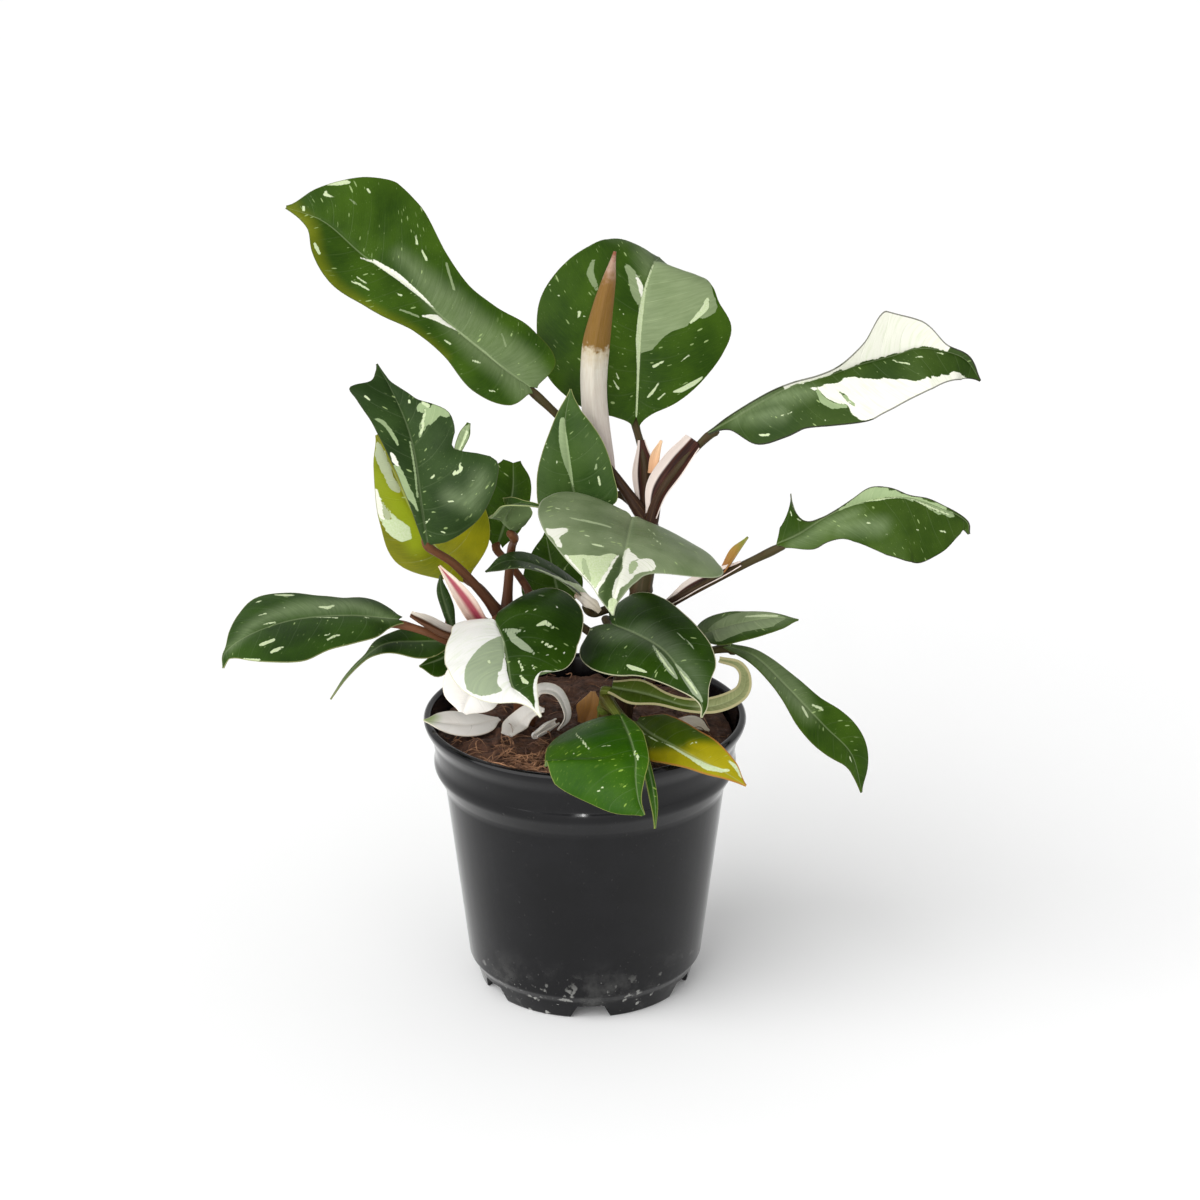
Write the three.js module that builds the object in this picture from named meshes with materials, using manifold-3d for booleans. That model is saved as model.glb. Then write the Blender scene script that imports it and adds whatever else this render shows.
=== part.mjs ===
// A white knight philodendron in a black plastic nursery pot, in millimetres, +Z up.
// The origin is on the pot's axis, on the surface that the pot stands on. -Y faces the viewer.
// Each leaf blade, leaf sheath and stem is a thin closed solid of its own. A stem holds its leaf stalks.
import * as THREE from "three";
import { mergeVertices } from "three/addons/utils/BufferGeometryUtils.js";
import Module from "manifold-3d";

const wasm = await Module();
wasm.setup();

// Driving dimensions
const POT_RIM_R = 60; // a 12 cm nursery pot
const POT_HEIGHT = 107;
const WALL = 1.5;
const CLEARANCE = 0.35; // between pieces that rest on each other
const BLADE = 0.7; // thickness of a leaf blade
const SOIL_LEVEL = 99;
const STEM_FOOT = 68; // how far down in the soil a stem reaches

const MATERIALS = {
  pot: new THREE.MeshStandardMaterial({ color: 0x1b1b1d, roughness: 0.35, metalness: 0 }),
  soil: new THREE.MeshStandardMaterial({ color: 0x3b2318, roughness: 0.95, metalness: 0 }),
  stem: new THREE.MeshStandardMaterial({ color: 0x5a2f1c, roughness: 0.5, metalness: 0 }),
  greenStem: new THREE.MeshStandardMaterial({ color: 0x3f6a1c, roughness: 0.5, metalness: 0 }),
  leaf: new THREE.MeshStandardMaterial({ color: 0x2c5a1e, roughness: 0.4, metalness: 0 }),
  brightLeaf: new THREE.MeshStandardMaterial({ color: 0x3f8a12, roughness: 0.4, metalness: 0 }),
  paleLeaf: new THREE.MeshStandardMaterial({ color: 0xe9e4da, roughness: 0.45, metalness: 0 }),
  oliveLeaf: new THREE.MeshStandardMaterial({ color: 0x8a8a1c, roughness: 0.45, metalness: 0 }),
  sheath: new THREE.MeshStandardMaterial({ color: 0xd8c3ae, roughness: 0.55, metalness: 0 }),
  drySheath: new THREE.MeshStandardMaterial({ color: 0x9c5a2c, roughness: 0.8, metalness: 0 }),
};

const root = new THREE.Group();

function addNode(name, geometry, material) {
  const mesh = new THREE.Mesh(geometry, MATERIALS[material]);
  mesh.name = name;
  root.add(mesh);
}

const vec = (p) => new THREE.Vector3(...p);
const degrees = (angle) => (angle * Math.PI) / 180;

// A smooth value along an evenly spaced list, at share t of its length.
function along(list, t) {
  const x = Math.min(Math.max(t, 0), 1) * (list.length - 1);
  const i = Math.min(Math.floor(x), list.length - 2);
  const f = x - i;
  const before = list[Math.max(i - 1, 0)];
  const after = list[Math.min(i + 2, list.length - 1)];
  const [a, b] = [list[i], list[i + 1]];
  const [slopeA, slopeB] = [(b - before) / 2, (after - a) / 2];
  const f2 = f * f;
  const f3 = f2 * f;
  return (2 * f3 - 3 * f2 + 1) * a + (f3 - 2 * f2 + f) * slopeA + (3 * f2 - 2 * f3) * b + (f3 - f2) * slopeB;
}

// A closed solid from a grid of rows: its two faces lie half a thickness each side of the grid.
// Both faces are split along the same diagonals.
function sheetSolid(grid, thickness) {
  const rows = grid.length;
  const columns = grid[0].length;
  const at = (i, j) => grid[Math.min(Math.max(i, 0), rows - 1)][Math.min(Math.max(j, 0), columns - 1)];
  const positions = [];
  for (const side of [1, -1]) {
    for (let i = 0; i < rows; i++) {
      for (let j = 0; j < columns; j++) {
        const lengthwise = at(i + 1, j).clone().sub(at(i - 1, j));
        const crosswise = at(i, j + 1).clone().sub(at(i, j - 1));
        const normal = crosswise.cross(lengthwise).normalize();
        positions.push(...at(i, j).clone().addScaledVector(normal, (side * thickness) / 2).toArray());
      }
    }
  }
  const top = (i, j) => i * columns + j;
  const under = (i, j) => rows * columns + i * columns + j;
  const faces = [];
  for (let i = 0; i < rows - 1; i++) {
    for (let j = 0; j < columns - 1; j++) {
      faces.push(top(i, j), top(i, j + 1), top(i + 1, j + 1), top(i, j), top(i + 1, j + 1), top(i + 1, j));
      faces.push(under(i, j), under(i + 1, j + 1), under(i, j + 1));
      faces.push(under(i, j), under(i + 1, j), under(i + 1, j + 1));
    }
  }
  const rim = [];
  for (let j = 0; j < columns - 1; j++) rim.push([0, j]);
  for (let i = 0; i < rows - 1; i++) rim.push([i, columns - 1]);
  for (let j = columns - 1; j > 0; j--) rim.push([rows - 1, j]);
  for (let i = rows - 1; i > 0; i--) rim.push([i, 0]);
  rim.forEach(([i, j], k) => {
    const [ni, nj] = rim[(k + 1) % rim.length];
    faces.push(top(i, j), under(i, j), under(ni, nj), top(i, j), under(ni, nj), top(ni, nj));
  });
  const geometry = new THREE.BufferGeometry();
  geometry.setAttribute("position", new THREE.Float32BufferAttribute(positions, 3));
  geometry.setIndex(faces);
  return geometry;
}

// The middle surface of a leaf. spine is the midrib from the stalk to the tip, and face is where the
// upper side looks. left and right are half widths as seen from above with the tip ahead, fold is how
// steeply each half rises from the midrib and curl how much it turns further towards its margin.
// Cross rays start backwards by lobes degrees at the stalk and lean forwards by lean degrees at the tip.
function leafPoint(leaf, t, s) {
  const curve = new THREE.CatmullRomCurve3(leaf.spine.map(vec), false, "catmullrom", 0.5);
  const point = curve.getPointAt(t);
  const tangent = curve.getTangentAt(t);
  const normal = vec(leaf.face).lerp(vec(leaf.faceTip ?? leaf.face), t);
  normal.addScaledVector(tangent, -normal.dot(tangent)).normalize();
  const side = tangent.clone().cross(normal);
  const half = s < 0 ? "left" : "right";
  const [width, fold, curl, wave] = [leaf[half], leaf.fold[half], leaf.curl[half], leaf.wave[half]];
  const reach = Math.abs(s);
  const rise = degrees(along(fold, t));
  const turn = degrees(along(curl, t)) || 1e-4;
  const w = along(width, t);
  const out = (w * (Math.sin(rise + turn * reach) - Math.sin(rise))) / turn;
  const ripple = wave.height * Math.sin(2 * Math.PI * (wave.count * t + wave.start)) * reach * reach;
  const up = (w * (Math.cos(rise) - Math.cos(rise + turn * reach))) / turn + ripple;
  const sweep = degrees(leaf.lean * t - leaf.lobes * (1 - t) ** 3);
  const ray = side.multiplyScalar(Math.sign(s) * Math.cos(sweep)).addScaledVector(tangent, Math.sin(sweep));
  return point.addScaledVector(ray, out).addScaledVector(normal, up);
}

// Rows crowd a little towards the stalk and the tip, where a leaf turns fastest.
const crowded = (x) => x - 0.07 * Math.sin(2 * Math.PI * x);

function leafGrid(leaf) {
  const grid = [];
  for (let i = 0; i <= leaf.rows; i++) {
    const row = [];
    for (let j = -leaf.columns; j <= leaf.columns; j++) {
      row.push(leafPoint(leaf, crowded(i / leaf.rows), j / leaf.columns));
    }
    grid.push(row);
  }
  return grid;
}

const STILL = { height: 0, count: 1, start: 0 };

// One value or list given for both halves, or one for each half.
const bothSides = (value) => (value.left ? value : { left: value, right: value });

// Fills in what a leaf leaves out.
function leafOf(given) {
  return {
    lobes: 55,
    lean: 25,
    rows: 10,
    columns: 4,
    material: "leaf",
    ...given,
    fold: bothSides(given.fold ?? [20, 12]),
    curl: bothSides(given.curl ?? [-25, -20]),
    wave: bothSides(given.wave ?? STILL),
  };
}

// A round stalk along a list of points, thinning from its root to its end.
function stalk(points, rootR, endR, steps = 8, sides = 7) {
  const curve = new THREE.CatmullRomCurve3(points.map(vec), false, "catmullrom", 0.5);
  const frames = curve.computeFrenetFrames(steps, false);
  const positions = [];
  const faces = [];
  for (let i = 0; i <= steps; i++) {
    const centre = curve.getPointAt(i / steps);
    const radius = rootR + ((endR - rootR) * i) / steps;
    for (let k = 0; k < sides; k++) {
      const turn = (2 * Math.PI * k) / sides;
      const corner = centre.clone().addScaledVector(frames.normals[i], radius * Math.cos(turn));
      positions.push(...corner.addScaledVector(frames.binormals[i], radius * Math.sin(turn)).toArray());
    }
  }
  for (let i = 0; i < steps; i++) {
    for (let k = 0; k < sides; k++) {
      const [a, b] = [i * sides + k, i * sides + ((k + 1) % sides)];
      faces.push(a, b, b + sides, a, b + sides, a + sides);
    }
  }
  for (let k = 1; k < sides - 1; k++) {
    faces.push(0, k + 1, k);
    faces.push(steps * sides, steps * sides + k, steps * sides + k + 1);
  }
  const geometry = new THREE.BufferGeometry();
  geometry.setAttribute("position", new THREE.Float32BufferAttribute(positions, 3));
  geometry.setIndex(faces);
  return geometry;
}

function solidOf(geometry) {
  const bare = geometry.clone();
  bare.deleteAttribute("normal");
  bare.deleteAttribute("uv");
  const merged = mergeVertices(bare, 1e-4);
  const solid = new wasm.Manifold(
    new wasm.Mesh({
      numProp: 3,
      vertProperties: new Float32Array(merged.attributes.position.array),
      triVerts: new Uint32Array(merged.index.array),
    }),
  );
  if (solid.volume() < 0) throw new Error("a solid is inside out");
  return solid;
}

function geometryOf(solid) {
  const mesh = solid.getMesh();
  const geometry = new THREE.BufferGeometry();
  geometry.setAttribute("position", new THREE.BufferAttribute(new Float32Array(mesh.vertProperties), 3));
  geometry.setIndex(new THREE.BufferAttribute(new Uint32Array(mesh.triVerts), 1));
  return geometry;
}

// The pot: one turned wall with a rolled lip, a deep rim band, a floor that is raised outside its
// centre, and six notches in the foot that let water out.
const NOTCHES = 6;
const NOTCH = { turn: 3, floorWidth: 16, topWidth: 10, height: 5.5 };
const POT_OUTSIDE = [
  [0, 0], [13, 0], [17, 6], [34, 6], [37.5, 6], [38.2, 0], [40, 0], [42.2, 7.5], [44.3, 10.5], [52.3, 79],
  [53, 81], [55.5, 85.5], [57, 99.5], [58.6, 101.2], [60, 104.5], [POT_RIM_R, 106], [59.2, POT_HEIGHT],
];
const POT_INSIDE = [
  [57.6, POT_HEIGHT], [57, 105.5], [55.6, 99.5], [54.1, 86.2], [51.3, 81.6], [50.7, 79.2], [42.8, 12], [41, 7.5],
  [14.5, 7.5], [11.8, WALL], [0, WALL],
];

function makePot() {
  const profile = [...POT_OUTSIDE, ...POT_INSIDE].map((p) => new THREE.Vector2(...p));
  let pot = solidOf(new THREE.LatheGeometry(profile, 26));
  const wedge = new THREE.Shape([
    new THREE.Vector2(-NOTCH.floorWidth / 2, -1),
    new THREE.Vector2(NOTCH.floorWidth / 2, -1),
    new THREE.Vector2(NOTCH.topWidth / 2, NOTCH.height),
    new THREE.Vector2(-NOTCH.topWidth / 2, NOTCH.height),
  ]);
  const cutter = new THREE.ExtrudeGeometry(wedge, { depth: 14, bevelEnabled: false });
  for (let k = 0; k < NOTCHES; k++) {
    const placed = cutter.clone().translate(0, 0, 35);
    placed.rotateY(degrees(NOTCH.turn + (360 / NOTCHES) * k));
    pot = pot.subtract(solidOf(placed));
  }
  return geometryOf(pot).rotateX(Math.PI / 2);
}

const LEAVES = {
  leaf_upper_left: {
    spine: [
      [-20, 15, 228], [-32, 19, 236], [-50, 24, 250], [-64, 29, 262], [-80, 33, 272],
      [-94, 35, 284], [-108, 37, 289],
    ],
    face: [0.3, -0.78, 0.55],
    faceTip: [0.1, -0.85, 0.5],
    left: [3, 15, 17, 12, 12, 16, 17, 17, 13, 5, 0.5],
    right: [3, 19, 21, 17, 16, 19, 28, 30, 24, 11, 0.8],
    fold: { left: [18, 14], right: [16, 10] },
    curl: { left: [-22, -10], right: [-24, -14] },
    lobes: 60,
    lean: 20,
  },
  leaf_upper_centre: {
    spine: [[19, 34, 211], [20, 44, 226], [21, 54, 240], [23, 62, 252], [26, 70, 260], [28, 80, 260]],
    face: [0.05, -0.85, 0.5],
    faceTip: [0.1, -0.85, 0.5],
    left: [4, 12, 26, 36, 39, 39, 34, 26, 17, 0.5],
    right: [4, 9, 18, 26, 32, 34, 28, 24, 16, 0.5],
    fold: { left: [14, 10], right: [14, 8] },
    curl: [-26, -20],
    lobes: 70,
    lean: 12,
  },
  leaf_upright: {
    spine: [[-1, 6, 183], [-4, 7, 191], [-6, 8, 204], [-7, 10, 217], [-5, 12, 228]],
    face: [0, -0.97, 0.2],
    left: [4, 14, 13, 9.5, 5.5, 2.5, 0.4],
    right: [4, 16, 16, 14, 10, 5, 0.4],
    fold: [26, 14],
    curl: [-26, -20],
    lobes: 50,
  },
  leaf_centre: {
    spine: [[17, -12, 187], [15, -40, 187], [12, -62, 182], [10, -70, 177], [10, -73, 173]],
    face: [0.3, -0.1, 0.95],
    faceTip: [0.1, -0.5, 0.8],
    left: [4, 16, 26, 33, 34, 12, 6, 3, 0.4],
    right: [6, 29, 34, 34, 30, 23, 15, 7, 0.4],
    fold: { left: [10, 6], right: [12, 8] },
    curl: { left: [-22, -20], right: [-24, -20] },
    lobes: 58,
    lean: 10,
  },
  leaf_left: {
    spine: [
      [-56, -20, 181], [-58, -19, 196], [-60, -16, 212], [-63, -13, 223], [-68, -10, 234],
      [-73, -8, 243],
    ],
    face: [0.05, -0.95, 0.3],
    left: [2, 2.7, 3.3, 3.9, 4.7, 6, 7.3, 9, 10.5, 12, 13, 14.4, 15.6, 16.3, 7, 3, 0.5],
    right: [2, 8.6, 15, 21, 25, 28, 28, 14.5, 16.5, 16.5, 12.4, 8, 5.7, 3.5, 1.5, 0.8, 0.4],
    fold: { left: [20, 20], right: [14, 10] },
    curl: { left: [-20, -10], right: [-24, -10] },
    lobes: 50,
    lean: 45,
    rows: 13,
  },
  leaf_yellow: {
    spine: [[-45, 8, 158], [-55, 13, 167], [-64, 18, 180], [-71, 23, 194], [-77, 27, 206]],
    face: [0.1, -0.9, 0.4],
    left: [3, 9, 15.5, 13, 9.5, 5.5, 0.4],
    right: [3, 18, 24, 22, 17, 10, 0.5],
    fold: [16, 10],
    curl: [-24, -20],
    lobes: 50,
    lean: 20,
  },
  leaf_left_back: {
    spine: [[-32, 20, 167], [-29, 27, 175], [-27, 33, 183], [-27, 40, 191]],
    face: [0.1, -0.9, 0.4],
    left: [3, 11, 12, 12, 4],
    right: [3, 6.5, 7, 6.5, 3],
    fold: [16, 10],
    curl: [-24, -20],
    lobes: 45,
    lean: 20,
    rows: 8,
    columns: 3,
  },
  leaf_curled: {
    spine: [[-26, -2, 179], [-29, -8, 185], [-26, -13, 192], [-20, -17, 194], [-15, -18, 193]],
    face: [-0.2, -0.3, 0.9],
    faceTip: [0.1, -0.4, 0.9],
    left: [5, 11, 5, 1.5, 1],
    right: [4, 5.5, 5.5, 5, 0.8],
    fold: [30, 20],
    curl: [20, 20],
    lobes: 30,
    lean: 15,
    rows: 8,
    columns: 3,
  },
  leaf_inner_dark: {
    spine: [[3, 10, 145], [-7, 6, 156], [-18, 2, 164], [-28, -2, 167], [-36, -5, 164]],
    face: [0.05, -0.15, 0.98],
    left: [3, 4, 5, 7, 9, 7, 0.4],
    right: [4, 7, 7, 7, 7, 4, 0.4],
    fold: [18, 10],
    curl: [-15, -10],
    lobes: 30,
    lean: 15,
    rows: 9,
    columns: 3,
  },
  leaf_inner_green: {
    spine: [[-9, 24, 140], [-11, 28, 147], [-13, 33, 155], [-15, 38, 164]],
    face: [0, -0.85, 0.5],
    left: [3, 13, 11, 6, 0.5],
    right: [3, 10, 9, 6, 0.5],
    fold: [16, 10],
    curl: [-24, -20],
    lobes: 35,
    lean: 20,
    rows: 8,
    columns: 3,
  },
  leaf_far_left: {
    spine: [
      [-68, -12, 148], [-85, -16, 151], [-104, -20, 151], [-119, -26, 148], [-128, -31, 143],
      [-129, -34, 138],
    ],
    face: [0, -0.22, 0.97],
    faceTip: [-0.5, -0.3, 0.8],
    left: [3, 7, 14, 18, 21, 26, 26, 22, 15, 6, 0.4],
    right: [3, 9, 13, 12, 14, 18, 21, 16, 9, 2, 0.4],
    fold: { left: [14, 8], right: [16, 10] },
    curl: [-30, -20],
    lobes: 45,
    lean: 20,
  },
  leaf_left_drip: {
    spine: [
      [-51, 2, 134], [-61, -1, 135], [-72, -5, 136], [-79, -8, 133], [-87, -12, 126], [-93, -15, 118],
    ],
    face: [0, -0.35, 0.93],
    left: [3, 6.5, 10, 10, 7, 4, 1.6, 1, 0.8, 0.5, 0.3],
    right: [3, 5, 6.5, 7, 5, 3.5, 1.2, 1, 0.8, 0.5, 0.3],
    fold: [16, 10],
    curl: [-24, -15],
    lobes: 40,
    lean: 20,
    rows: 11,
    columns: 3,
  },
  leaf_half_white: {
    spine: [
      [-32, -24, 152], [-29, -34, 149], [-27, -44, 144], [-25, -52, 138], [-19, -57, 134],
      [-15, -60, 130],
    ],
    face: [0.1, -0.72, 0.68],
    faceTip: [0.1, -0.8, 0.6],
    left: [6, 32, 35, 30, 25, 18.5, 10.5, 3.5, 0.4],
    right: [3, 18, 20, 22, 22, 18, 5, 1.5, 0.5],
    fold: [10, 8],
    curl: { left: [-30, -20], right: [-34, -20] },
    lobes: 65,
    lean: 0,
  },
  leaf_front_right: {
    spine: [
      [10, -14, 147], [20, -28, 148], [29, -42, 147], [36, -54, 141], [41, -60, 135], [41, -63, 131],
    ],
    face: [-0.1, -0.6, 0.8],
    faceTip: [0.1, -0.7, 0.7],
    left: [12, 23, 21, 18, 16, 15, 12, 4.5, 0.4],
    right: [10, 19, 22, 21, 18, 12, 6, 1.6, 0.4],
    fold: [10, 8],
    curl: { left: [-30, -20], right: [-28, -20] },
    lobes: 60,
    lean: 5,
  },
  leaf_right_small: {
    spine: [[40, 2, 135], [50, 0, 140], [61, -3, 144], [70, -5, 146], [78, -7, 146]],
    face: [0, -0.3, 0.95],
    left: [2, 8, 8, 6, 4, 2, 0.4],
    right: [2, 5.5, 11, 12, 10.5, 7, 0.4],
    fold: [16, 10],
    curl: [-24, -15],
    lobes: 40,
    lean: 20,
    rows: 9,
    columns: 3,
  },
  leaf_right_hanging: {
    spine: [[53, 2, 132], [63, -4, 130], [75, -10, 120], [88, -14, 107], [98, -17, 97], [102, -20, 83]],
    face: [0.3, -0.5, 0.8],
    faceTip: [0.6, -0.7, 0.3],
    left: [2, 3, 4.5, 6, 7, 10, 9, 5.5, 0.4],
    right: [2, 4, 4.5, 6, 9.5, 10, 8, 3.5, 0.5],
    fold: [18, 12],
    curl: [-24, -15],
    lobes: 40,
    lean: 20,
  },
  leaf_right: {
    spine: [
      [69, -12, 177], [77, -15, 182], [88, -19, 191], [100, -23, 197], [113, -27, 200],
      [126, -31, 197], [134, -33, 193], [135, -35, 189],
    ],
    face: [0, -0.5, 0.86],
    faceTip: [0, -0.5, 0.86],
    left: [6.5, 16.5, 4, 0.8, 0.8, 2.4, 4.8, 3.5, 1, 1.6, 1.2, 0.8, 0.4],
    right: [5.5, 11.5, 12, 14, 18.5, 23.5, 27.5, 29.8, 28.5, 25.5, 18, 7.5, 0.5],
    fold: { left: [30, 60, 50, 45, 40], right: [8, 4] },
    curl: { left: [10, 0], right: [-24, -20] },
    lobes: -50,
    lean: 20,
    rows: 12,
  },
  leaf_upper_right: {
    spine: [
      [45, 8, 213], [53, 7, 218], [62, 6, 224], [74, 5, 231], [86, 4, 235], [97, 4, 239],
      [110, 3, 243], [119, 2, 246], [129, 1, 245], [136, 0, 242], [141, -1, 235],
    ],
    face: [0.1, -0.55, 0.83],
    faceTip: [0, -0.6, 0.8],
    left: [0.5, 1.8, 2.1, 2.1, 1.5, 1.5, 3, 8.5, 18, 11, 3, 2, 0.4],
    right: [1, 4, 15, 18, 19, 21, 23.5, 22, 19.5, 18, 13, 8, 0.5],
    fold: { left: [50, 70, 40], right: [8, 4] },
    curl: { left: [10, 0], right: [-24, -20] },
    lobes: 30,
    lean: 20,
    rows: 13,
  },
  leaf_front_bright: {
    material: "brightLeaf",
    spine: [
      [13, -36, 120], [16, -54, 120], [18, -66, 117], [18, -72, 112], [19, -75, 105],
      [21, -76.5, 100],
    ],
    face: [0, -0.75, 0.65],
    faceTip: [0, -0.9, 0.4],
    left: [3, 3.7, 4.5, 5.2, 5, 4.6, 3.2, 1.3, 0.4],
    right: [3.4, 19, 28.5, 31, 32, 32, 28.5, 15.5, 1],
    fold: { left: [12, 10], right: [10, 8] },
    curl: { left: [-20, -10], right: [-30, -20] },
    lobes: 70,
    lean: 0,
  },
  leaf_front_yellow: {
    material: "oliveLeaf",
    spine: [
      [19, -23, 112], [24, -33, 112], [32, -44, 112], [41, -54, 111], [50, -59, 108], [57, -61, 104],
    ],
    face: [0, -0.6, 0.8],
    left: [4, 10, 11, 11, 10.5, 9.8, 8, 5, 0.5],
    right: [3, 6.5, 10.5, 10.8, 8, 5.5, 4, 2, 0.3],
    fold: { left: [14, 10], right: [8, 0] },
    curl: { left: [-24, -15], right: [-10, -10] },
    lobes: 35,
    lean: 10,
  },
  leaf_front_sliver: {
    material: "brightLeaf",
    spine: [[20, -41, 115], [22, -55, 111], [24, -62, 104], [25, -63, 96], [25, -64, 89]],
    face: [0.5, -0.8, 0.3],
    left: [1.2, 1.3, 1.4, 1.4, 0.4],
    right: [1.5, 2.5, 2.6, 2, 0.4],
    fold: [25, 15],
    curl: [-20, -15],
    lobes: 10,
    lean: 15,
    rows: 8,
    columns: 2,
  },
  leaf_curled_strap: {
    material: "oliveLeaf",
    spine: [
      [10, -26, 127], [22, -32, 127], [36, -38, 125], [47, -38, 125], [56, -33, 127.5],
      [58, -27, 131.5], [55.5, -23, 134.8], [49, -20, 135.6],
    ],
    face: [0.1, -0.6, 0.8],
    faceTip: [-0.3, -0.8, 0.4],
    left: [3, 5, 3, 3, 3.5, 3, 2, 1.2],
    right: [3, 6, 3, 2.5, 3, 3, 2, 1.2],
    fold: [20, 30],
    curl: [-20, -20],
    lobes: 10,
    lean: 10,
    rows: 12,
    columns: 2,
  },
  leaf_rim_white: {
    material: "paleLeaf",
    spine: [[-32, -3, 105], [-42, -11, 106], [-52, -14, 108], [-59, -16, 110]],
    face: [0, -0.3, 0.95],
    left: [1, 6, 7, 5, 0.5],
    right: [1, 7, 8, 6, 0.5],
    fold: [16, 10],
    curl: [-24, -20],
    lobes: 10,
    lean: 15,
    rows: 8,
    columns: 3,
  },
  leaf_white_under: {
    material: "paleLeaf",
    spine: [[-31, -16, 136], [-36, -22, 130], [-41, -27, 125], [-44, -30, 119]],
    face: [0.1, -0.85, 0.5],
    left: [3, 6, 8.6, 9.8, 9.8, 7.5, 1.5],
    right: [3, 7.3, 10.5, 12, 11.8, 8.5, 1.5],
    fold: [16, 10],
    curl: [-30, -20],
    lobes: 30,
    lean: 10,
    rows: 8,
    columns: 3,
  },
  bract_curled: {
    material: "paleLeaf",
    spine: [
      [-20, -5, 114], [-16, -7, 118], [-11, -9, 118], [-8, -10, 114], [-7, -11, 109], [-10, -11, 104],
    ],
    face: [0.2, -0.6, 0.75],
    faceTip: [0.8, -0.5, 0.2],
    left: [2, 3, 3, 2.6, 2, 0.5],
    right: [2, 1.6, 1.6, 1.8, 1.5, 0.4],
    fold: [20, 30],
    curl: [-20, -20],
    lobes: 0,
    lean: 0,
    rows: 12,
    columns: 2,
  },
  bract_crumpled: {
    material: "paleLeaf",
    spine: [[-28, -16, 104], [-24, -9, 106], [-20, -9, 110], [-15, -11, 112]],
    face: [-0.2, -0.6, 0.75],
    left: [3, 5, 4.6, 3.4, 0.8],
    right: [2, 4, 3.6, 2.4, 0.8],
    fold: [20, 10],
    curl: [-20, -20],
    lobes: 10,
    lean: 10,
    rows: 7,
    columns: 2,
  },
  bract_small: {
    material: "paleLeaf",
    spine: [[-19, -16, 103.2], [-15, -11, 104.2], [-11, -7, 105.2]],
    face: [0.2, -0.8, 0.55],
    left: [3.5, 4.5, 3],
    right: [3.5, 4.5, 3],
    fold: [20, 10],
    curl: [120, 120],
    lobes: 0,
    lean: 0,
    rows: 5,
    columns: 2,
  },
  dried_scale: {
    material: "drySheath",
    spine: [[0, -2, 103], [2, -2, 109], [3, -3, 116]],
    face: [0.2, -0.85, 0.5],
    left: [3, 5.5, 1],
    right: [2, 4.5, 1],
    fold: [20, 10],
    curl: [-20, -20],
    lobes: 0,
    lean: 10,
    rows: 5,
    columns: 2,
  },
  pale_piece: {
    material: "sheath",
    spine: [[33, 2, 102], [40, -1, 103], [46, -7, 102]],
    face: [0, -0.5, 0.85],
    left: [1, 3, 0.5],
    right: [1, 3, 0.5],
    fold: [10, 10],
    curl: [-30, -20],
    lobes: 0,
    lean: 0,
    rows: 5,
    columns: 2,
  },
  leaf_low_dark: {
    spine: [[-50, 10, 126], [-54, 8, 124.5], [-58, 6, 123.7], [-61.5, 4, 123.3]],
    face: [0, -0.7, 0.7],
    left: [2, 6, 6, 0.4],
    right: [2, 3, 2, 0.4],
    fold: [16, 10],
    curl: [-24, -20],
    lobes: 20,
    lean: 10,
    rows: 6,
    columns: 2,
  },
  leaf_narrow: {
    spine: [[-49, 0, 141], [-51, 2, 147], [-53, 4, 154], [-53, 5, 159]],
    face: [0.2, -0.9, 0.3],
    left: [1.5, 1.8, 1.8, 0.4],
    right: [1.5, 3, 2.5, 0.4],
    fold: [16, 10],
    curl: [-24, -20],
    lobes: 10,
    lean: 10,
    rows: 6,
    columns: 2,
  },
  new_leaf: {
    material: "sheath",
    spine: [
      [9, 18, 189], [5, 20, 206], [3, 22, 222], [3.5, 24.5, 238], [6, 26, 253], [8.5, 27, 264],
      [11, 28, 275],
    ],
    face: [0.1, 0.95, -0.2],
    left: [4, 6, 6.6, 6.8, 7, 6.6, 5.2, 3.2, 0.5],
    right: [4, 6, 6.6, 6.8, 7, 6.6, 5.2, 3.2, 0.5],
    fold: [10, 10],
    curl: [70, 60],
    lobes: 0,
    lean: 0,
    rows: 11,
    columns: 3,
  },
  sheath_left: {
    material: "sheath",
    spine: [[-38, -11, 148], [-42, -15, 156], [-47, -17, 164], [-52, -18, 171]],
    face: [-0.3, -0.8, 0.5],
    left: [4, 4.5, 4, 2.5, 0.5],
    right: [4, 4.5, 4, 2.5, 0.5],
    fold: [15, 15],
    curl: [50, 40],
    lobes: 10,
    lean: 10,
    rows: 9,
    columns: 3,
  },
  sheath_far_left: {
    material: "sheath",
    spine: [[-46, -8, 139], [-52, -12, 142], [-58, -15, 147], [-63, -16, 151]],
    face: [0, -0.3, 0.95],
    left: [4, 5, 5, 4, 2],
    right: [4, 5, 5, 4, 2],
    fold: [20, 20],
    curl: [40, 40],
    lobes: 10,
    lean: 10,
    rows: 9,
    columns: 3,
  },
  ligule_right: {
    material: "drySheath",
    spine: [[53, -5, 168.6], [56, -6, 173], [59, -7, 178]],
    face: [-0.6, -0.4, 0.7],
    left: [2, 2.8, 0.5],
    right: [2, 2.8, 0.5],
    fold: [10, 10],
    curl: [40, 40],
    lobes: 0,
    lean: 0,
    rows: 5,
    columns: 2,
  },
  ligule_centre: {
    material: "sheath",
    spine: [[25, 12, 196], [26, 14, 202], [28, 14, 208]],
    face: [-0.3, -0.9, 0.2],
    left: [2, 2, 0.5],
    right: [2, 2, 0.5],
    fold: [10, 10],
    curl: [40, 40],
    lobes: 0,
    lean: 0,
    rows: 5,
    columns: 2,
  },
};
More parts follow.
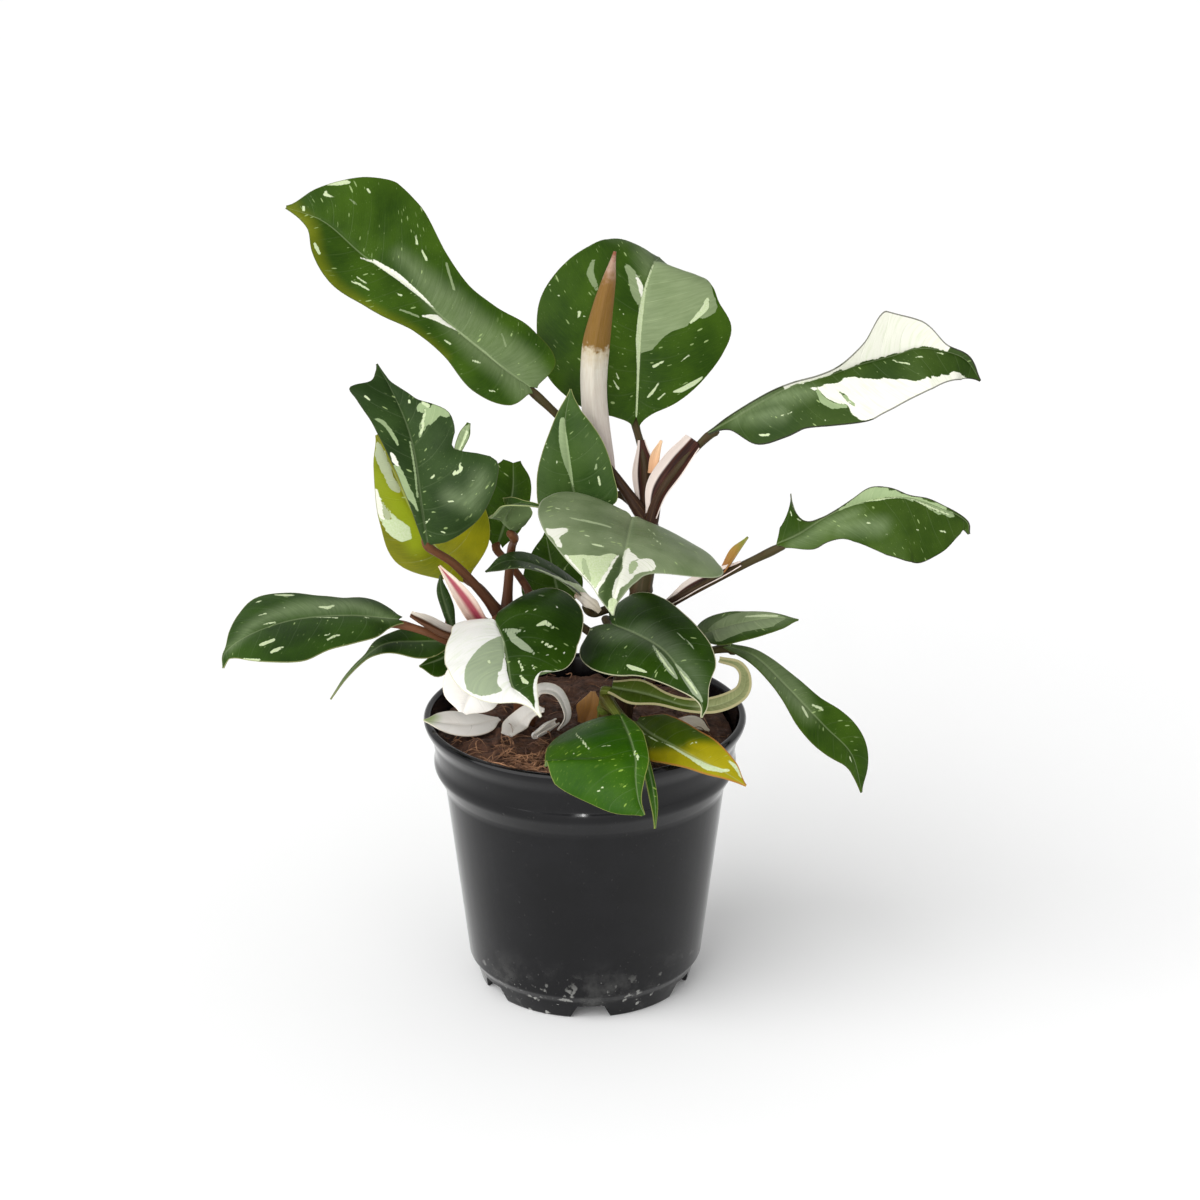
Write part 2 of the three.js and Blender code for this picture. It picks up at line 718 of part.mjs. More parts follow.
const WINGS = {
  wing_upper_right: {
    spine: [[25, 8, 181], [28, 9, 190], [34, 9, 199], [41, 8, 209]],
    face: [-0.5, -0.75, 0.4],
    left: [3, 6.5, 7, 5.5],
    right: [3, 5, 6, 4.5],
    fold: [10, 20],
    curl: [40, 40],
    lobes: 0,
    lean: 0,
    rows: 8,
    columns: 3,
  },
  wing_upper_centre: {
    spine: [[22, 13, 182], [22, 20, 193], [21, 27, 204]],
    face: [-0.1, -0.97, 0.2],
    left: [3, 5, 1.5],
    right: [3, 5.5, 1.5],
    fold: [10, 10],
    curl: [40, 40],
    lobes: 0,
    lean: 0,
    rows: 7,
    columns: 3,
  },
  wing_right: {
    spine: [[30, 0, 149], [40, -2, 156], [50, -6, 163], [57, -8, 168]],
    face: [-0.2, -0.5, 0.85],
    left: [2, 4.5, 4, 1.5],
    right: [2, 3.5, 3, 1.5],
    fold: [20, 20],
    curl: [30, 30],
    lobes: 0,
    lean: 0,
    rows: 7,
    columns: 3,
  },
};

// Where each stem stands in the soil, how it rises, and the stalk that it sends to each leaf.
// A stalk lists its root inside the stem and the points on its way; it ends under the leaf's midrib.
const STEMS = {
  stem_centre: {
    material: "stem",
    foot: { x: 13, y: 5, r: 5 },
    rise: [[13, 5, 101], [15, 5, 118], [20, 5, 149], [23, 8, 168], [24, 11, 184]],
    radii: [5, 3.6],
    stalks: {
      leaf_upper_left: [[23, 10, 178], [9, 14, 197], [-6, 16, 213]],
      leaf_upper_centre: [[23, 12, 180], [22, 23, 197]],
      leaf_upper_right: [[24, 9, 178], [27, 9, 188], [34, 9, 199]],
      leaf_upright: [[22, 8, 168], [12, 9, 178]],
      leaf_centre: [[23, 8, 172], [21, 0, 181]],
      new_leaf: [[23, 10, 180], [14, 16, 186]],
      leaf_right: [[21, 5, 138], [29, 1, 148], [49, -5, 162]],
      leaf_inner_dark: [[19, 5, 140], [11, 10, 144]],
      leaf_inner_green: [[17, 6, 122], [4, 17, 130], [-5, 22, 135]],
      leaf_front_right: [[18, 4, 136], [8, -4, 145]],
      leaf_right_small: [[16, 5, 116], [28, 5, 129]],
      leaf_right_hanging: [[16, 5, 110], [34, 7, 124]],
    },
    wings: ["wing_upper_right", "wing_upper_centre", "wing_right"],
  },
  stem_left: {
    material: "stem",
    foot: { x: -22, y: 0, r: 4.5 },
    rise: [[-22, 0, 101], [-24, -1, 118], [-27, -3, 136], [-31, -6, 150]],
    radii: [4.5, 3],
    stalks: {
      leaf_left: [[-30, -6, 146], [-37, -9, 157], [-47, -13, 170]],
      leaf_yellow: [[-30, -5, 146], [-38, 3, 154]],
      leaf_left_back: [[-26, -2, 132], [-20, 6, 148], [-27, 14, 159]],
      leaf_curled: [[-29, -4, 144], [-28, 8, 158], [-27, 9, 168]],
      leaf_far_left: [[-28, -4, 138], [-45, -6, 136], [-57, -12, 143]],
      leaf_left_drip: [[-26, -2, 128], [-40, 2, 132]],
      leaf_low_dark: [[-24, -1, 116], [-38, 8, 122]],
      leaf_narrow: [[-28, -3, 138], [-40, 0, 137]],
      leaf_half_white: [[-30, -5, 143], [-31, -14, 149]],
      leaf_white_under: [[-27, -3, 132], [-29, -10, 135]],
      sheath_left: [[-29, -5, 142], [-34, -8, 145]],
    },
    wings: [],
  },
  stem_front: {
    material: "greenStem",
    foot: { x: 6, y: -16, r: 3.5 },
    rise: [[6, -16, 101], [7, -18, 112], [8, -20, 124]],
    radii: [3.5, 2.2],
    stalks: {
      leaf_front_bright: [[8, -20, 121], [9, -26, 121]],
      leaf_front_yellow: [[7, -18, 114], [12, -22, 111]],
      leaf_front_sliver: [[8, -20, 119], [13, -28, 117]],
      leaf_curled_strap: [[8, -19, 120], [7, -22, 124]],
    },
    wings: [],
  },
};

const STALK_END = { leaf: 1.3, sheath: 1.1 };

// The last two points of a stalk, in the notch of the leaf and a little way under its midrib.
function underMidrib(leaf, radius) {
  const curve = new THREE.CatmullRomCurve3(leaf.spine.map(vec), false, "catmullrom", 0.5);
  const tangent = curve.getTangentAt(0);
  const normal = vec(leaf.face);
  normal.addScaledVector(tangent, -normal.dot(tangent)).normalize();
  const drop = BLADE / 2 + CLEARANCE + radius + 0.1;
  return [-2.5, 3].map((along) => {
    const share = Math.max(along, 0) / curve.getLength();
    const point = curve.getPointAt(share).addScaledVector(tangent, Math.min(along, 0));
    return point.addScaledVector(normal, -drop).toArray();
  });
}

function makeStem({ foot, rise, radii, stalks, wings }) {
  const footHeight = rise[0][2] + 1 - STEM_FOOT;
  const post = new THREE.CylinderGeometry(foot.r, foot.r * 0.8, footHeight, 10);
  post.rotateX(Math.PI / 2).translate(foot.x, foot.y, STEM_FOOT + footHeight / 2);
  const parts = [solidOf(post), solidOf(stalk(rise, radii[0] * 0.98, radii[1], 8, 9))];
  for (const [name, path] of Object.entries(stalks)) {
    const leaf = leafOf(LEAVES[name]);
    const endR = name.startsWith("leaf") ? STALK_END.leaf : STALK_END.sheath;
    parts.push(solidOf(stalk([...path, ...underMidrib(leaf, endR)], endR + 0.7, endR, 6, 6)));
  }
  for (const name of wings) parts.push(solidOf(sheetSolid(leafGrid(leafOf(WINGS[name])), BLADE)));
  return geometryOf(wasm.Manifold.union(parts));
}

// The soil fills the pot up to a low mound, which is higher at the front left, and has a round hole
// for the foot of each stem.
const SOIL_PROFILE = [
  [0, 8], [40.2, 8], [42.2, 12.4], [50.2, 79.2], [50.8, 82], [53.5, 86.8], [54.9, 98], [50, SOIL_LEVEL],
  [44, SOIL_LEVEL], [36, SOIL_LEVEL], [27, SOIL_LEVEL], [18, SOIL_LEVEL], [9, SOIL_LEVEL], [0, SOIL_LEVEL],
];

function soilHeight(x, y) {
  const share = Math.min(Math.hypot(x, y) / 54.9, 1);
  const frontLeft = Math.max(0, (-x * 0.6 - y * 0.8) / 55);
  const lumps = Math.sin(x * 0.31 + 1) * Math.cos(y * 0.27) + 0.6 * Math.sin(x * 0.13 - y * 0.57);
  return SOIL_LEVEL + (2.2 + 3.2 * frontLeft + 0.8 * lumps) * (1 - share ** 6);
}

function makeSoil() {
  const profile = SOIL_PROFILE.map((p) => new THREE.Vector2(...p));
  const geometry = new THREE.LatheGeometry(profile, 28).rotateX(Math.PI / 2);
  const position = geometry.attributes.position;
  for (let i = 0; i < position.count; i++) {
    const [x, y, z] = [position.getX(i), position.getY(i), position.getZ(i)];
    if (z > SOIL_LEVEL - 0.01) position.setZ(i, soilHeight(x, y));
  }
  let soil = solidOf(geometry);
  for (const { foot } of Object.values(STEMS)) {
    const hole = new THREE.CylinderGeometry(foot.r + CLEARANCE, foot.r + CLEARANCE, 60, 16);
    hole.rotateX(Math.PI / 2).translate(foot.x, foot.y, STEM_FOOT - CLEARANCE + 30);
    soil = soil.subtract(solidOf(hole));
  }
  return geometryOf(soil);
}

addNode("pot", makePot(), "pot");
addNode("soil", makeSoil(), "soil");
for (const [name, stem] of Object.entries(STEMS)) addNode(name, makeStem(stem), stem.material);
for (const [name, given] of Object.entries(LEAVES)) {
  const leaf = leafOf(given);
  addNode(name, sheetSolid(leafGrid(leaf), BLADE), leaf.material);
}

export default root;
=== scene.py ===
import math

import bpy
import numpy as np
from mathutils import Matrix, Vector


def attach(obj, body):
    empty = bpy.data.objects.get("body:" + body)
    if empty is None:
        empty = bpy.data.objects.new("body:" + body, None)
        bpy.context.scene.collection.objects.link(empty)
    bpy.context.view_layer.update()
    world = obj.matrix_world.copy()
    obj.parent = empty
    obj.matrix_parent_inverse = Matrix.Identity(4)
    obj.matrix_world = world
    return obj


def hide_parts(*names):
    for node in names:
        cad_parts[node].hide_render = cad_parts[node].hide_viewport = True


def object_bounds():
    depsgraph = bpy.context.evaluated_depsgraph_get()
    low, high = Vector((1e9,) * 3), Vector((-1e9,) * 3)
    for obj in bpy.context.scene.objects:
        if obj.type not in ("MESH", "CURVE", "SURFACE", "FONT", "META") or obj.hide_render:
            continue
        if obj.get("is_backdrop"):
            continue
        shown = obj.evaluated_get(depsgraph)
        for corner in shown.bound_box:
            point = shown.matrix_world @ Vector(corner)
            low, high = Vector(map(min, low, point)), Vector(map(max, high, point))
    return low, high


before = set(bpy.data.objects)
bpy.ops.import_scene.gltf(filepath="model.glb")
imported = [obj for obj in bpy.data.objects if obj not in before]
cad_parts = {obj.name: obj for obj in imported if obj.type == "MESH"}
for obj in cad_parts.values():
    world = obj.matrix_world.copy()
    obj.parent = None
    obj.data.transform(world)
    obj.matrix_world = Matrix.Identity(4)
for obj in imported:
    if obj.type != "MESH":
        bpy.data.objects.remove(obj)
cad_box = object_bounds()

# The camera looks down on the plant from the front, a little above its top leaves.
# Its lens and place give the plant the size in the frame that it has in the photograph.
CAMERA_PLACE = (0.0056, -0.970, 0.515)
LOOKS_DOWN = math.radians(20.56)
LENS, SENSOR = 84.7, 36
camera = bpy.data.objects.new("camera", bpy.data.cameras.new("camera"))
bpy.context.scene.collection.objects.link(camera)
camera.data.lens = LENS
camera.data.sensor_width = SENSOR
camera.data.clip_start, camera.data.clip_end = 0.05, 30
camera.location = CAMERA_PLACE
camera.rotation_euler = (math.pi / 2 - LOOKS_DOWN, 0, 0)
bpy.context.scene.camera = camera

# The plant stands on a plain white floor that runs on into a white room.
# A broad soft light comes from the front left, and a small one from above the camera gives the highlights.
floor = bpy.data.objects.new("floor", bpy.data.meshes.new("floor"))
bpy.context.scene.collection.objects.link(floor)
floor.data.from_pydata([(-9, -9, 0), (9, -9, 0), (9, 9, 0), (-9, 9, 0)], [], [(0, 1, 2, 3)])
floor_paint = bpy.data.materials.new("white_floor")
floor_paint.use_nodes = True
floor_shader = floor_paint.node_tree.nodes["Principled BSDF"]
floor_shader.inputs["Base Color"].default_value = (0.94, 0.94, 0.94, 1)
floor_shader.inputs["Roughness"].default_value = 0.9
floor_shader.inputs["Specular IOR Level"].default_value = 0.1
floor.data.materials.append(floor_paint)
floor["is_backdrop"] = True

bpy.context.scene.view_settings.view_transform = "Standard"
room = bpy.data.worlds.new("white_room")
room.use_nodes = True
room.node_tree.nodes["Background"].inputs["Color"].default_value = (1, 1, 1, 1)
room.node_tree.nodes["Background"].inputs["Strength"].default_value = 0.65
bpy.context.scene.world = room


def aimed(name, lamp, place, target=(0, 0, 0.12)):
    """Puts a lamp at place, in metres, and turns it so that it shines towards target."""
    thing = bpy.data.objects.new(name, lamp)
    bpy.context.scene.collection.objects.link(thing)
    away = np.array(place) - np.array(target)
    thing.location = place
    thing.rotation_euler = (
        math.atan2(math.hypot(away[0], away[1]), away[2]), 0, math.atan2(away[0], -away[1]),
    )


window = bpy.data.lights.new("window_light", "SUN")
window.energy, window.angle = 2.45, math.radians(70)
aimed("window_light", window, (-1.0, -0.85, 1.0))
lamp = bpy.data.lights.new("front_light", "AREA")
lamp.shape, lamp.size, lamp.size_y, lamp.energy = "RECTANGLE", 0.05, 0.6, 9
aimed("front_light", lamp, (-0.034, -1.75, 0.32))


def piece(name, points, faces, node=None, finish=None, smooth=60):
    """A mesh from an array of points in millimetres and an array of four- or three-cornered faces.
    It rides on the one body, stands for a CAD node if one is named, and is shaded smooth up to an angle."""
    mesh = bpy.data.meshes.new(name)
    mesh.from_pydata((np.asarray(points) / 1000).tolist(), [], [list(f) for f in faces])
    mesh.update()
    if smooth:
        mesh.shade_smooth()
        mesh.set_sharp_from_angle(angle=math.radians(smooth))
    made = bpy.data.objects.new(name, mesh)
    bpy.context.scene.collection.objects.link(made)
    if finish:
        mesh.materials.append(finish)
    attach(made, "root")
    if node:
        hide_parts(node)
    return made


class Nodes:
    """A short way to write a node tree: add() makes a node, sets its values and joins its inputs."""

    def __init__(self, tree):
        self.tree = tree

    def add(self, kind, *sources, **settings):
        node = self.tree.nodes.new("ShaderNode" + kind)
        for key, value in settings.items():
            if key[0] == "_":
                node.inputs[key[1:].replace("_", " ")].default_value = value
            else:
                setattr(node, key, value)
        for i, source in enumerate(sources):
            self.set(node.inputs[i], source)
        return node

    def set(self, socket, source):
        if source is None:
            return
        if isinstance(source, bpy.types.Node):
            source = source.outputs[0]
        if isinstance(source, bpy.types.NodeSocket):
            self.tree.links.new(source, socket)
        elif isinstance(source, tuple) and len(source) == 3 and socket.type == "RGBA":
            socket.default_value = (*source, 1)
        else:
            socket.default_value = source

    def math(self, operation, *sources, clamp=False):
        return self.add("Math", *sources, operation=operation, use_clamp=clamp).outputs[0]

    def step(self, value, low, high, to_low=0.0, to_high=1.0):
        """Goes smoothly from to_low to to_high as the value goes from low to high."""
        node = self.add("MapRange", interpolation_type="SMOOTHSTEP")
        for key, source in zip(
            ("Value", "From Min", "From Max", "To Min", "To Max"), (value, low, high, to_low, to_high),
        ):
            self.set(node.inputs[key], source)
        return node.outputs[0]

    def mix(self, share, first, second, blend="MIX"):
        node = self.add("Mix", data_type="RGBA", blend_type=blend, clamp_factor=True)
        self.set(node.inputs[0], share)
        self.set(node.inputs[6], first)
        self.set(node.inputs[7], second)
        return node.outputs[2]

    def noise(self, vector, scale=1.0, detail=2.0, roughness=0.5):
        node = self.add("TexNoise", vector, _Scale=scale, _Detail=detail, _Roughness=roughness)
        return node.outputs[0]

    def scaled(self, vector, size, shift=(0, 0, 0)):
        """The vector times size, plus shift."""
        node = self.add("Mapping", vector)
        node.inputs["Scale"].default_value = size
        node.inputs["Location"].default_value = shift
        return node.outputs[0]

    def attribute(self, name):
        return self.add("Attribute", attribute_name=name).outputs["Fac"]


def new_finish(name):
    """A material with its own shader, and the writer of its node tree."""
    material = bpy.data.materials.new(name)
    material.use_nodes = True
    shader = material.node_tree.nodes["Principled BSDF"]
    return material, Nodes(material.node_tree), shader


def new_group(name, inputs, outputs):
    """A shader node group with named inputs, given with their values, and named outputs."""
    group = bpy.data.node_groups.new(name, "ShaderNodeTree")
    for label, value in inputs.items():
        kind = "NodeSocketColor" if isinstance(value, tuple) else "NodeSocketFloat"
        socket = group.interface.new_socket(label, in_out="INPUT", socket_type=kind)
        socket.default_value = (*value, 1) if isinstance(value, tuple) else value
    for label, kind in outputs.items():
        group.interface.new_socket(label, in_out="OUTPUT", socket_type="NodeSocket" + kind)
    write = Nodes(group)
    source = group.nodes.new("NodeGroupInput")
    sink = group.nodes.new("NodeGroupOutput")
    return group, write, source.outputs, sink.inputs


def place_group(write, group, **values):
    """Puts a group in a material and gives its named inputs their values."""
    node = write.tree.nodes.new("ShaderNodeGroup")
    node.node_tree = group
    for label, value in values.items():
        write.set(node.inputs[label.replace("_", " ")], value)
    return node.outputs


def bump(write, shader, height, distance, strength=1.0):
    """Joins a height that changes over the surface to the shader's normal."""
    node = write.add("Bump", _Strength=strength, _Distance=distance)
    write.set(node.inputs["Height"], height)
    write.tree.links.new(node.outputs[0], shader.inputs["Normal"])


# The pot is a black plastic nursery pot, moulded in one piece: a rolled lip, a deep rim band,
# a tapered wall, and a foot with six notches that let water out under the raised floor.
POT_OUTSIDE = [
    (0, 0), (13, 0), (17, 6), (34, 6), (37.5, 6), (38.2, 0), (40, 0), (42.2, 7.5), (44.3, 10.5), (52.3, 79),
    (53, 81), (55.5, 85.5), (56.0, 86.4), (56.4, 87.4), (56.5, 88.6), (56.35, 89.8),
    (56.05, 91), (55.95, 92.2), (56.1, 94), (56.9, 98.6),
    (57.5, 100), (58.4, 101.6), (59.5, 103.6), (60, 105.2), (60, 106), (59.2, 107),
]
POT_INSIDE = [
    (57.6, 107), (57, 105.5), (55.6, 99.5), (54.1, 86.2), (51.3, 81.6), (50.7, 79.2), (42.8, 12), (41, 7.5),
    (14.5, 7.5), (11.8, 1.5), (0, 1.5),
]


def rounded(corners, reach, steps=4):
    """A profile whose corners are eased: each corner becomes a quadratic arc that starts and ends at most
    reach before and after it."""
    corners = np.array(corners, float)
    line = [corners[0]]
    for before, here, after in zip(corners[:-2], corners[1:-1], corners[2:]):
        into, out = before - here, after - here
        a = here + into * min(reach / np.linalg.norm(into), 0.45)
        b = here + out * min(reach / np.linalg.norm(out), 0.45)
        for f in np.linspace(0, 1, steps):
            line.append(a * (1 - f) ** 2 + here * 2 * f * (1 - f) + b * f * f)
    line.append(corners[-1])
    return np.array(line)


def turned(profile, spokes):
    """A body of revolution: point (i, k) is the profile's point i at radius r and height z, turned by
    k / spokes of a circle. The profile starts and ends on the axis, where it closes in a pole."""
    r, z = profile[1:-1, 0], profile[1:-1, 1]
    angle = np.arange(spokes) * 2 * np.pi / spokes
    ring = np.stack(
        [np.outer(r, np.cos(angle)), np.outer(r, np.sin(angle)), np.repeat(z[:, None], spokes, 1)], -1,
    )
    points = np.vstack([ring.reshape(-1, 3), [[0, 0, profile[0, 1]]], [[0, 0, profile[-1, 1]]]])
    i, k = np.meshgrid(np.arange(len(r) - 1), np.arange(spokes), indexing="ij")
    a, b = i * spokes + k, i * spokes + (k + 1) % spokes
    quads = np.stack([a, b, b + spokes, a + spokes], -1).reshape(-1, 4)
    k = np.arange(spokes)
    first, last = len(r) * spokes, len(r) * spokes + 1
    low = np.stack([np.full(spokes, first), (k + 1) % spokes, k], -1)
    top = (len(r) - 1) * spokes
    high = np.stack([np.full(spokes, last), top + k, top + (k + 1) % spokes], -1)
    return points, [*quads.tolist(), *low.tolist(), *high.tolist()]


pot_points, pot_faces = turned(rounded(POT_OUTSIDE + POT_INSIDE, 0.7), 192)
pot = piece("nursery_pot", pot_points, pot_faces, "pot", smooth=0)
NOTCHES, FIRST_NOTCH = 6, math.radians(3)
for k in range(NOTCHES):
    turn = FIRST_NOTCH + 2 * math.pi * k / NOTCHES
    corners = [(-8, -1), (8, -1), (5, 5.5), (-5, 5.5)]
    wedge = [(x, -y, z) for y in (35, 49) for x, z in corners]
    wedge = [
        (x * math.cos(turn) - y * math.sin(turn), x * math.sin(turn) + y * math.cos(turn), z)
        for x, y, z in wedge
    ]
    sides = [(3, 2, 1, 0), (4, 5, 6, 7), (0, 1, 5, 4), (1, 2, 6, 5), (2, 3, 7, 6), (3, 0, 4, 7)]
    cutter = bpy.data.objects.new("notch", bpy.data.meshes.new("notch"))
    cutter.data.from_pydata((np.array(wedge) / 1000).tolist(), [], sides)
    bpy.context.scene.collection.objects.link(cutter)
    cut = pot.modifiers.new("notch", "BOOLEAN")
    cut.operation, cut.solver, cut.object = "DIFFERENCE", "EXACT", cutter
    bpy.context.view_layer.update()
    ready = pot.evaluated_get(bpy.context.evaluated_depsgraph_get())
    shape = bpy.data.meshes.new_from_object(ready)
    pot.modifiers.clear()
    pot.data = shape
    bpy.data.objects.remove(cutter)
pot.data.shade_smooth()
pot.data.set_sharp_from_angle(angle=math.radians(38))

black_plastic, write, shader = new_finish("black_plastic")
place = write.add("TexCoord").outputs["Object"]
parts = write.add("SeparateXYZ", place).outputs
rubbed = write.noise(place, 55, 5, 0.65)
streaks = write.noise(write.scaled(place, (260, 260, 14)), 1, 3)
grains = write.noise(place, 900, 2)
low = write.step(parts[2], 0.03, 0.004)
dust = write.math("MULTIPLY", low, write.step(rubbed, 0.5, 0.68))
specks = write.math("MULTIPLY", write.step(grains, 0.71, 0.75), write.step(parts[2], 0.03, 0.0, 0.06, 1.0))
splashes = write.math(
    "MULTIPLY", write.step(write.noise(place, 190, 4), 0.6, 0.66), write.step(parts[2], 0.022, 0.004),
)
dirt = write.math("MAXIMUM", write.math("MULTIPLY", dust, 0.16), write.math("MAXIMUM", specks, splashes))
tone = write.mix(write.step(rubbed, 0.35, 0.75), (0.0022, 0.0022, 0.0028), (0.0042, 0.0042, 0.0052))
tone = write.mix(write.math("MULTIPLY", dirt, 0.8), tone, (0.34, 0.34, 0.32))
write.set(shader.inputs["Base Color"], tone)
polish = write.math("ADD", write.step(rubbed, 0.3, 0.8, 0.09, 0.17), write.math("MULTIPLY", dirt, 0.35))
write.set(shader.inputs["Roughness"], write.math("ADD", polish, write.step(streaks, 0.3, 0.7, -0.02, 0.03)))
shader.inputs["Specular IOR Level"].default_value = 0.27
bump(write, shader, write.math("ADD", streaks, write.math("MULTIPLY", rubbed, 0.8)), 0.0001, 0.35)
pot.data.materials.clear()
pot.data.materials.append(black_plastic)

# The soil is a dark brown coir mix, pressed into the pot up to just below its lip and a little higher
# at the front left. Its top is rough with crumbs; the rest of it has the shape of the inside of the pot.
SOIL_WALL = [(0, 8), (40.2, 8), (42.2, 12.4), (50.2, 79.2), (50.8, 82), (53.5, 86.8), (54.9, 98)]
chance = np.random.default_rng(12)


def lattice_noise(x, y, seed):
    """Soft random values from 0 to 1: each cell of a lattice has a random value at its corners, and a point
    takes their mean, weighted by smooth steps of its place in the cell."""
    table = np.random.default_rng(seed).random((97, 89))
    i, j = np.floor(x).astype(int), np.floor(y).astype(int)
    f, g = x - i, y - j
    f, g = f * f * (3 - 2 * f), g * g * (3 - 2 * g)
    corner = lambda a, b: table[(i + a) % 97, (j + b) % 89]
    low = corner(0, 0) * (1 - f) + corner(1, 0) * f
    high = corner(0, 1) * (1 - f) + corner(1, 1) * f
    return low * (1 - g) + high * g


def soil_height(x, y):
    """The soil's level at a place: a low mound, higher at the front left, with slow waves, that runs out at
    the wall, and a heap against the wall at the front."""
    share = np.minimum(np.hypot(x, y) / 54.9, 1)
    front_left = np.maximum(0, (-x * 0.6 - y * 0.8) / 55)
    lumps = np.sin(x * 0.31 + 1) * np.cos(y * 0.27) + 0.6 * np.sin(x * 0.13 - y * 0.57)
    heap = 5.5 * np.exp(-(((x + 14) / 22) ** 2)) * np.where(y < 0, share**4, 0)
    return 99 + (2.2 + 3.2 * front_left + 0.8 * lumps) * (1 - share**6) + heap


crumbs = np.column_stack([chance.uniform(-54, 54, (1500, 2)), chance.uniform(0.8, 3.2, 1500)])


def soil_top(x, y):
    """The mound with crumbs on it: each crumb is a low dome of its own radius, the highest dome counts,
    and three sizes of soft noise roughen it all."""
    dome = np.zeros_like(x)
    for cx, cy, r in crumbs:
        near = 1 - ((x - cx) ** 2 + (y - cy) ** 2) / r**2
        dome = np.maximum(dome, np.where(near > 0, np.sqrt(np.maximum(near, 0)) * r * 0.42, 0))
    sizes_and_heights = [(5, 1.6), (2, 0.9), (0.9, 0.5)]
    rough = sum(
        height * (lattice_noise(x / size + 50, y / size + 50, k) - 0.5)
        for k, (size, height) in enumerate(sizes_and_heights)
    )
    return soil_height(x, y) + dome + rough - 0.5


spokes = 260
rings = np.concatenate([np.linspace(54.4, 6, 90), np.linspace(5.4, 0, 10)])
soil_profile = np.array([*SOIL_WALL, *[(r, 99) for r in rings]], float)
soil_points, soil_faces = turned(soil_profile, spokes)
top = soil_points[:, 2] > 98.5
soil_points[top, 2] = soil_top(soil_points[top, 0], soil_points[top, 1])
outer = np.clip((np.hypot(soil_points[:, 0], soil_points[:, 1]) - 48) / 6, 0, 1) * top
soil_points[:, :2] *= (1 + outer * np.maximum(soil_points[:, 2] - 99, 0) * 0.225 / 55)[:, None]

coir, write, shader = new_finish("coir_mix")
place = write.add("TexCoord").outputs["Object"]
grain = write.noise(place, 330, 5, 0.7)
patch = write.noise(place, 70, 3)
strands = write.noise(write.scaled(place, (900, 160, 400)), 1, 3)
tone = write.mix(write.step(grain, 0.3, 0.7), (0.022, 0.0085, 0.0042), (0.105, 0.040, 0.018))
tone = write.mix(write.step(patch, 0.45, 0.7, 0, 0.6), tone, (0.11, 0.045, 0.022))
tone = write.mix(write.step(strands, 0.6, 0.72, 0, 0.6), tone, (0.17, 0.08, 0.04))
write.set(shader.inputs["Base Color"], tone)
write.set(shader.inputs["Roughness"], write.step(grain, 0.2, 0.8, 0.95, 0.7))
bump(write, shader, grain, 0.0012, 0.9)
piece("coir_soil", soil_points, soil_faces, "soil", coir, smooth=55)


def smooth_path(points, shares):
    """A Catmull-Rom curve through the points, at shares of its length: each span is the cubic whose end
    slopes are half the chord between its neighbours, and even steps come from summed lengths."""
    p = np.asarray(points, float)
    p = np.vstack([2 * p[0] - p[1], p, 2 * p[-1] - p[-2]])
    spans = len(p) - 3

    def raw(u):
        x = np.clip(u, 0, 1) * spans
        i = np.minimum(x.astype(int), spans - 1)
        f = (x - i)[:, None]
        a, b, c, d = p[i], p[i + 1], p[i + 2], p[i + 3]
        v, w = (c - a) / 2, (d - b) / 2
        return (2 * b - 2 * c + v + w) * f**3 + (-3 * b + 3 * c - 2 * v - w) * f**2 + v * f + b

    u = np.linspace(0, 1, 401)
    length = np.concatenate([[0], np.cumsum(np.linalg.norm(np.diff(raw(u), axis=0), axis=1))])
    shares = np.asarray(shares, float)
    line = raw(np.interp(shares * length[-1], length, u))
    just_after = raw(np.interp((shares + 1e-3) * length[-1], length, u))
    just_before = raw(np.interp((shares - 1e-3) * length[-1], length, u))
    ahead = just_after - just_before
    return line, ahead / np.linalg.norm(ahead, axis=1, keepdims=True), length[-1]


def tube(line, ahead, radius, sides, outline=None):
    """A closed tube along a line: each ring lies across the line, turned as little as can be from the ring
    before it, and its point k is at radius times the outline's value there. Both ends close in a pole."""
    side = np.cross(ahead[0], [0.3, 0.9, 0.31])
    across = []
    for t in ahead:
        side = side - t * (side @ t)
        side = side / np.linalg.norm(side)
        across.append(side)
    across = np.array(across)
    over = np.cross(ahead, across)
    angle = np.arange(sides) * 2 * np.pi / sides
    shape = np.ones(sides) if outline is None else outline(angle)
    size = np.asarray(radius)[:, None] * shape[None, :]
    sideways = across[:, None] * (size * np.cos(angle))[..., None]
    upwards = over[:, None] * (size * np.sin(angle))[..., None]
    ring = line[:, None] + sideways + upwards
    points = np.vstack([ring.reshape(-1, 3), line[:1], line[-1:]])
    n = len(line)
    i, k = np.meshgrid(np.arange(n - 1), np.arange(sides), indexing="ij")
    a, b = i * sides + k, i * sides + (k + 1) % sides
    quads = np.stack([a, b, b + sides, a + sides], -1).reshape(-1, 4)
    k = np.arange(sides)
    start = np.stack([np.full(sides, n * sides), (k + 1) % sides, k], -1)
    end = np.stack(
        [np.full(sides, n * sides + 1), (n - 1) * sides + k, (n - 1) * sides + (k + 1) % sides], -1,
    )
    return points, [*quads.tolist(), *start.tolist(), *end.tolist()]


def joined(parts):
    """Several (points, faces) as one."""
    points, faces, count = [], [], 0
    for p, f in parts:
        points.append(p)
        faces += [[c + count for c in corners] for corners in f]
        count += len(p)
    return np.vstack(points), faces


